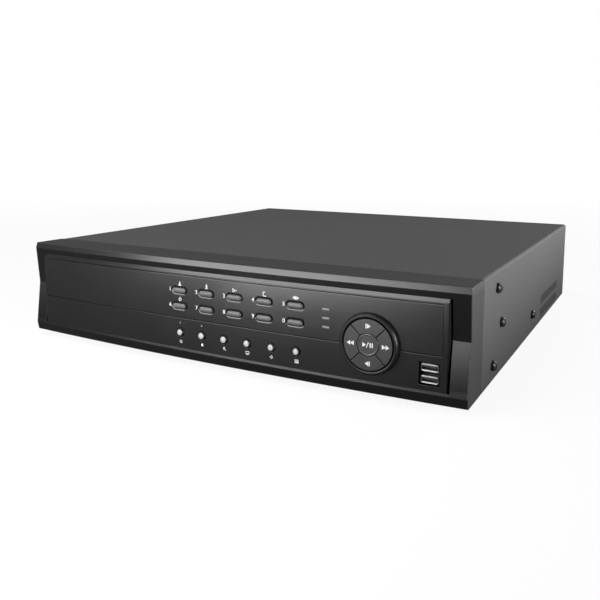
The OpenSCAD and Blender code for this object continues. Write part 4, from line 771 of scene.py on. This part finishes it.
# Gasket of the front sockets: a black foam plate, die-cut with a hole for each shell and pressed
# on the keypad board round them.
GASKET_T = 1.5 * MM
GASKET_EDGE = 3.0 * MM
GAP = 0.1 * MM
low_z = shells[0].z + FLARE
high_z = shells[1].z - FLARE
hole_x = (shells[0].x - GAP, shells[1].x + GAP)
holes_z = [
    (low_z - GAP, low_z + SHELL_H + GAP), (high_z - SHELL_H - GAP, high_z + GAP),
]
left, right = shells[0].x - GASKET_EDGE, shells[1].x + GASKET_EDGE
bottom, top = low_z - GASKET_EDGE, high_z + GASKET_EDGE
gasket = bmesh.new()
gasket.faces.new([
    gasket.verts.new((x, shells[1].y, z))
    for x, z in ((left, bottom), (right, bottom), (right, top), (left, top))
])
cuts = [((x, 0, 0), (1, 0, 0)) for x in hole_x]
cuts += [((0, 0, z), (0, 0, 1)) for hole_z in holes_z for z in hole_z]
for place, way in cuts:
    plate = gasket.verts[:] + gasket.edges[:] + gasket.faces[:]
    bmesh.ops.bisect_plane(gasket, geom=plate, dist=NEAR, plane_co=place, plane_no=way)
cut_out = []
for face in gasket.faces:
    middle = face.calc_center_median()
    in_hole = any(start < middle.z < end for start, end in holes_z)
    if in_hole and hole_x[0] < middle.x < hole_x[1]:
        cut_out.append(face)
bmesh.ops.delete(gasket, geom=cut_out, context="FACES")
thickened(gasket, (0, -GASKET_T, 0))
piece("socket_gasket", gasket, nylon, "case")

# Centre contacts of the video jacks: sleeves turned from the same brass as the inlet's blades, and
# pressed into the insulators' bores.
CONTACT_R = 0.7 * MM
CONTACT_BORE_R = 0.35 * MM
CONTACT_L = 5.0 * MM
CONTACT_IN = 0.3 * MM
CONTACT_STEPS = 16
INSULATOR_R = 4.0 * MM
JACK_PITCH = 15.5 * MM
JACKS_IN_ROW = 9
low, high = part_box("bnc_insulators")
contact_wall = [
    (CONTACT_R, -CONTACT_L, 0), (CONTACT_R, 0, 0),
    (CONTACT_BORE_R, 0, 0), (CONTACT_BORE_R, -CONTACT_L, 0),
]
contacts = bmesh.new()
for z in (low.z + INSULATOR_R, high.z - INSULATOR_R):
    for column in range(JACKS_IN_ROW):
        middle = Vector((low.x + INSULATOR_R + column * JACK_PITCH, high.y - CONTACT_IN, z))
        corners = [contacts.verts.new(middle + Vector(point)) for point in contact_wall]
        edges = [contacts.edges.new((corners[i - 1], corners[i])) for i in range(len(corners))]
        bmesh.ops.spin(
            contacts, geom=corners + edges, cent=middle, axis=(0, 1, 0), angle=math.tau,
            steps=CONTACT_STEPS, use_merge=True,
        )
bmesh.ops.recalc_face_normals(contacts, faces=contacts.faces)
piece("bnc_contacts", contacts, brass, "case")

# Cover: one steel sheet, bent down at both sides and folded in at the back, with a finely textured
# dark grey powder coat. It slides under the bezel's rear edge and is screwed to the tray.
cover_paint, spot = finish("cover_paint", Specular_IOR_Level=0.12)
orange_peel = noise(spot, scale=1300.0, detail=3.0)
speck = noise(spot, scale=4200.0)
haze = noise(spot, scale=9.0)
feed(cover_paint, {
    "Base Color": tint(speck * 0.5 + haze * 0.5, grey(0.044), grey(0.058)),
    "Roughness": orange_peel * 0.18 + haze * 0.08 + 0.46,
    "Normal": relief(orange_peel, 0.08 * MM, 0.4, eased(spot, radius=0.4 * MM)),
})
wear(cover_paint, "top_cover")

# Screws: black-oxidised steel, with low domed heads and cross recesses. The larger ones hold the
# cover at its sides, and the small ones the boards, the drives and the rear panel.
screw_black = mottled(
    "black_screw", dark=grey(0.016), light=grey(0.040), rough=0.26, grain=2400.0, detail=3.0,
    ease=0.2 * MM, Metallic=0.6, Specular_IOR_Level=0.5,
)
wear(screw_black, "cover_screws", "small_screws")

# Feet: four cones moulded in black rubber, each held to the tray by a screw in its well. Rubber
# dulls to a dusty bloom.
rubber = mottled(
    "foot_rubber", dark=grey(0.010), light=grey(0.024), rough=0.62, grain=1500.0, detail=3.0,
    depth=0.05 * MM, strength=0.4, Specular_IOR_Level=0.3,
)
wear(rubber, "rubber_feet")

# Studio floor: a broad sheet of pale paper, which keeps the shadow near the object and fades to
# plain white further off.
FLOOR_HALF = 4.0
FADE = (0.5, 2.0)
NEAR_WHITE = 0.90
NEAR_MIRRORED, FAR_MIRRORED = 0.05, 0.90


def ray_kinds(tap):
    """Whether a ray is the camera's, a reflection's or one through a clear part."""
    kinds = ("Is Camera Ray", "Is Glossy Ray", "Is Transmission Ray")
    return [tap.node("LightPath", {}, {}, kind) for kind in kinds]


ground = bmesh.new()
bmesh.ops.create_grid(ground, x_segments=2, y_segments=2, size=FLOOR_HALF)
floor_mesh = bpy.data.meshes.new("floor")
ground.to_mesh(floor_mesh)
ground.free()
floor = bpy.data.objects.new("floor", floor_mesh)
bpy.context.scene.collection.objects.link(floor)
paper = bpy.data.materials.new("floor_paper")
paper.use_nodes = True
sheet = Tap(paper.node_tree)
seen, glossy, through = ray_kinds(sheet)
spot = sheet.node("TexCoord", {}, {}, "Object")
away = span(sheet.node("VectorMath", {"operation": "LENGTH"}, {0: spot}, "Value"), *FADE)
unseen = tint(glossy, tint(noise(spot, scale=300.0), grey(0.19), grey(0.21)), grey(0.10))
matt = sheet.node("BsdfDiffuse", {}, {"Color": tint(seen, unseen, grey(0.80))})
glow = sheet.node("Emission", {}, {"Color": grey(1.0), "Strength": 1.0})
white = away * (1.0 - NEAR_WHITE) + NEAR_WHITE
mirrored = away * (FAR_MIRRORED - NEAR_MIRRORED) + NEAR_MIRRORED
share = (seen + through) * white + glossy * mirrored
lit = sheet.node("MixShader", {}, {0: share, 1: matt, 2: glow})
output = paper.node_tree.nodes["Material Output"]
paper.node_tree.links.new(lit.socket, output.inputs["Surface"])
floor_mesh.materials.append(paper)

# Backdrop: white to the camera all round. Reflections see it pale near the floor and darker
# overhead and at the far left, and it lights the object only faintly.
AMBIENT = 0.3
LOW_WALL, CEILING = 0.8, 0.25
CEILING_RISE = (0.05, 0.6)
FAR_LEFT = (-0.85, -0.6)
LEFT_WALL = 0.6
world = bpy.data.worlds.new("backdrop")
world.use_nodes = True
bpy.context.scene.world = world
sky = Tap(world.node_tree)
seen, glossy, through = ray_kinds(sky)
toward = sky.node("TexCoord", {}, {}, "Generated")
rising = span(along(toward, "Z"), *CEILING_RISE, LOW_WALL, CEILING)
pale = rising * span(along(toward, "X"), *FAR_LEFT, LEFT_WALL, 1.0)
other_rays = 1 - seen - glossy - through
strength = seen + (glossy + through) * pale + other_rays * AMBIENT
backdrop = world.node_tree.nodes["Background"]
backdrop.inputs["Color"].default_value = grey(1.0)
world.node_tree.links.new(strength.socket, backdrop.inputs["Strength"])


# Lamps: soft boxes overhead, in front and behind, and a strip with a grid at the right. The front
# one has a smaller wing at its right, a narrow card below that and a low card before the floor.
def soft_lamp(name, place, aim, size, power, spread=180.0):
    """A soft box that faces a point, with a grid over it where its spread is narrower."""
    light = bpy.data.lights.new(name, "AREA")
    light.shape = "RECTANGLE"
    light.size, light.size_y = size
    light.energy = power
    light.spread = math.radians(spread)
    lamp = bpy.data.objects.new(name, light)
    lamp.location = place
    lamp.rotation_euler = (Vector(aim) - Vector(place)).to_track_quat("-Z", "Y").to_euler()
    lamp.visible_camera = False
    bpy.context.scene.collection.objects.link(lamp)


soft_lamp(
    "overhead_lamp", place=(-0.55, -0.5, 1.25), aim=(-0.55, -0.5, 0.0), size=(1.05, 0.4), power=9.5,
)
soft_lamp(
    "right_lamp", place=(0.72, -0.02, 0.15), aim=(0.22, -0.02, 0.16), size=(0.7, 0.1), power=2.0,
    spread=46.0,
)
soft_lamp(
    "front_wing", place=(0.03, -0.807, 0.28), aim=(0.25, -0.313, 0.17), size=(0.166, 0.18),
    power=0.66,
)
soft_lamp(
    "front_lamp", place=(-0.24, -0.69, 0.19), aim=(-0.02, -0.196, 0.08), size=(0.42, 0.36),
    power=3.9,
)
soft_lamp(
    "wing_card", place=(0.125, -0.845, 0.13), aim=(0.345, -0.351, 0.08), size=(0.09, 0.24),
    power=0.24,
)
soft_lamp(
    "front_card", place=(-0.035, -0.58, 0.028), aim=(0.125, -0.238, 0.028), size=(0.3, 0.05),
    power=0.34,
)
soft_lamp(
    "rear_lamp", place=(0.95, 1.15, 0.7), aim=(0.0, 0.23, 0.05), size=(0.6, 0.5), power=7.0,
)

# Camera: set where the photograph was taken from, worked out from the case's straight edges. The
# lens is shifted down, because the object stands low in the photograph's frame.
EYE = (0.33905, -0.685249, 0.191079)
AZIMUTH = math.radians(29.032)
ELEVATION = math.radians(7.074)
ROLL = math.radians(0.178)
IMAGE_PX = 600
FOCAL_PX = 678.632
SHIFT_PX = -70
SENSOR = 36.0
back = Vector((
    math.sin(AZIMUTH) * math.cos(ELEVATION),
    -math.cos(AZIMUTH) * math.cos(ELEVATION),
    math.sin(ELEVATION),
))
level_right = Vector((math.cos(AZIMUTH), math.sin(AZIMUTH), 0.0))
level_up = back.cross(level_right)
camera_right = level_right * math.cos(ROLL) + level_up * math.sin(ROLL)
camera_up = level_up * math.cos(ROLL) - level_right * math.sin(ROLL)
turned = Matrix((camera_right, camera_up, back)).transposed().to_4x4()
lens = bpy.data.cameras.new("camera")
lens.sensor_width = SENSOR
lens.lens = FOCAL_PX / IMAGE_PX * SENSOR
lens.shift_y = SHIFT_PX / IMAGE_PX
camera = bpy.data.objects.new("camera", lens)
camera.matrix_world = Matrix.Translation(EYE) @ turned
bpy.context.scene.collection.objects.link(camera)
bpy.context.scene.camera = camera
bpy.context.scene.view_settings.view_transform = "Standard"
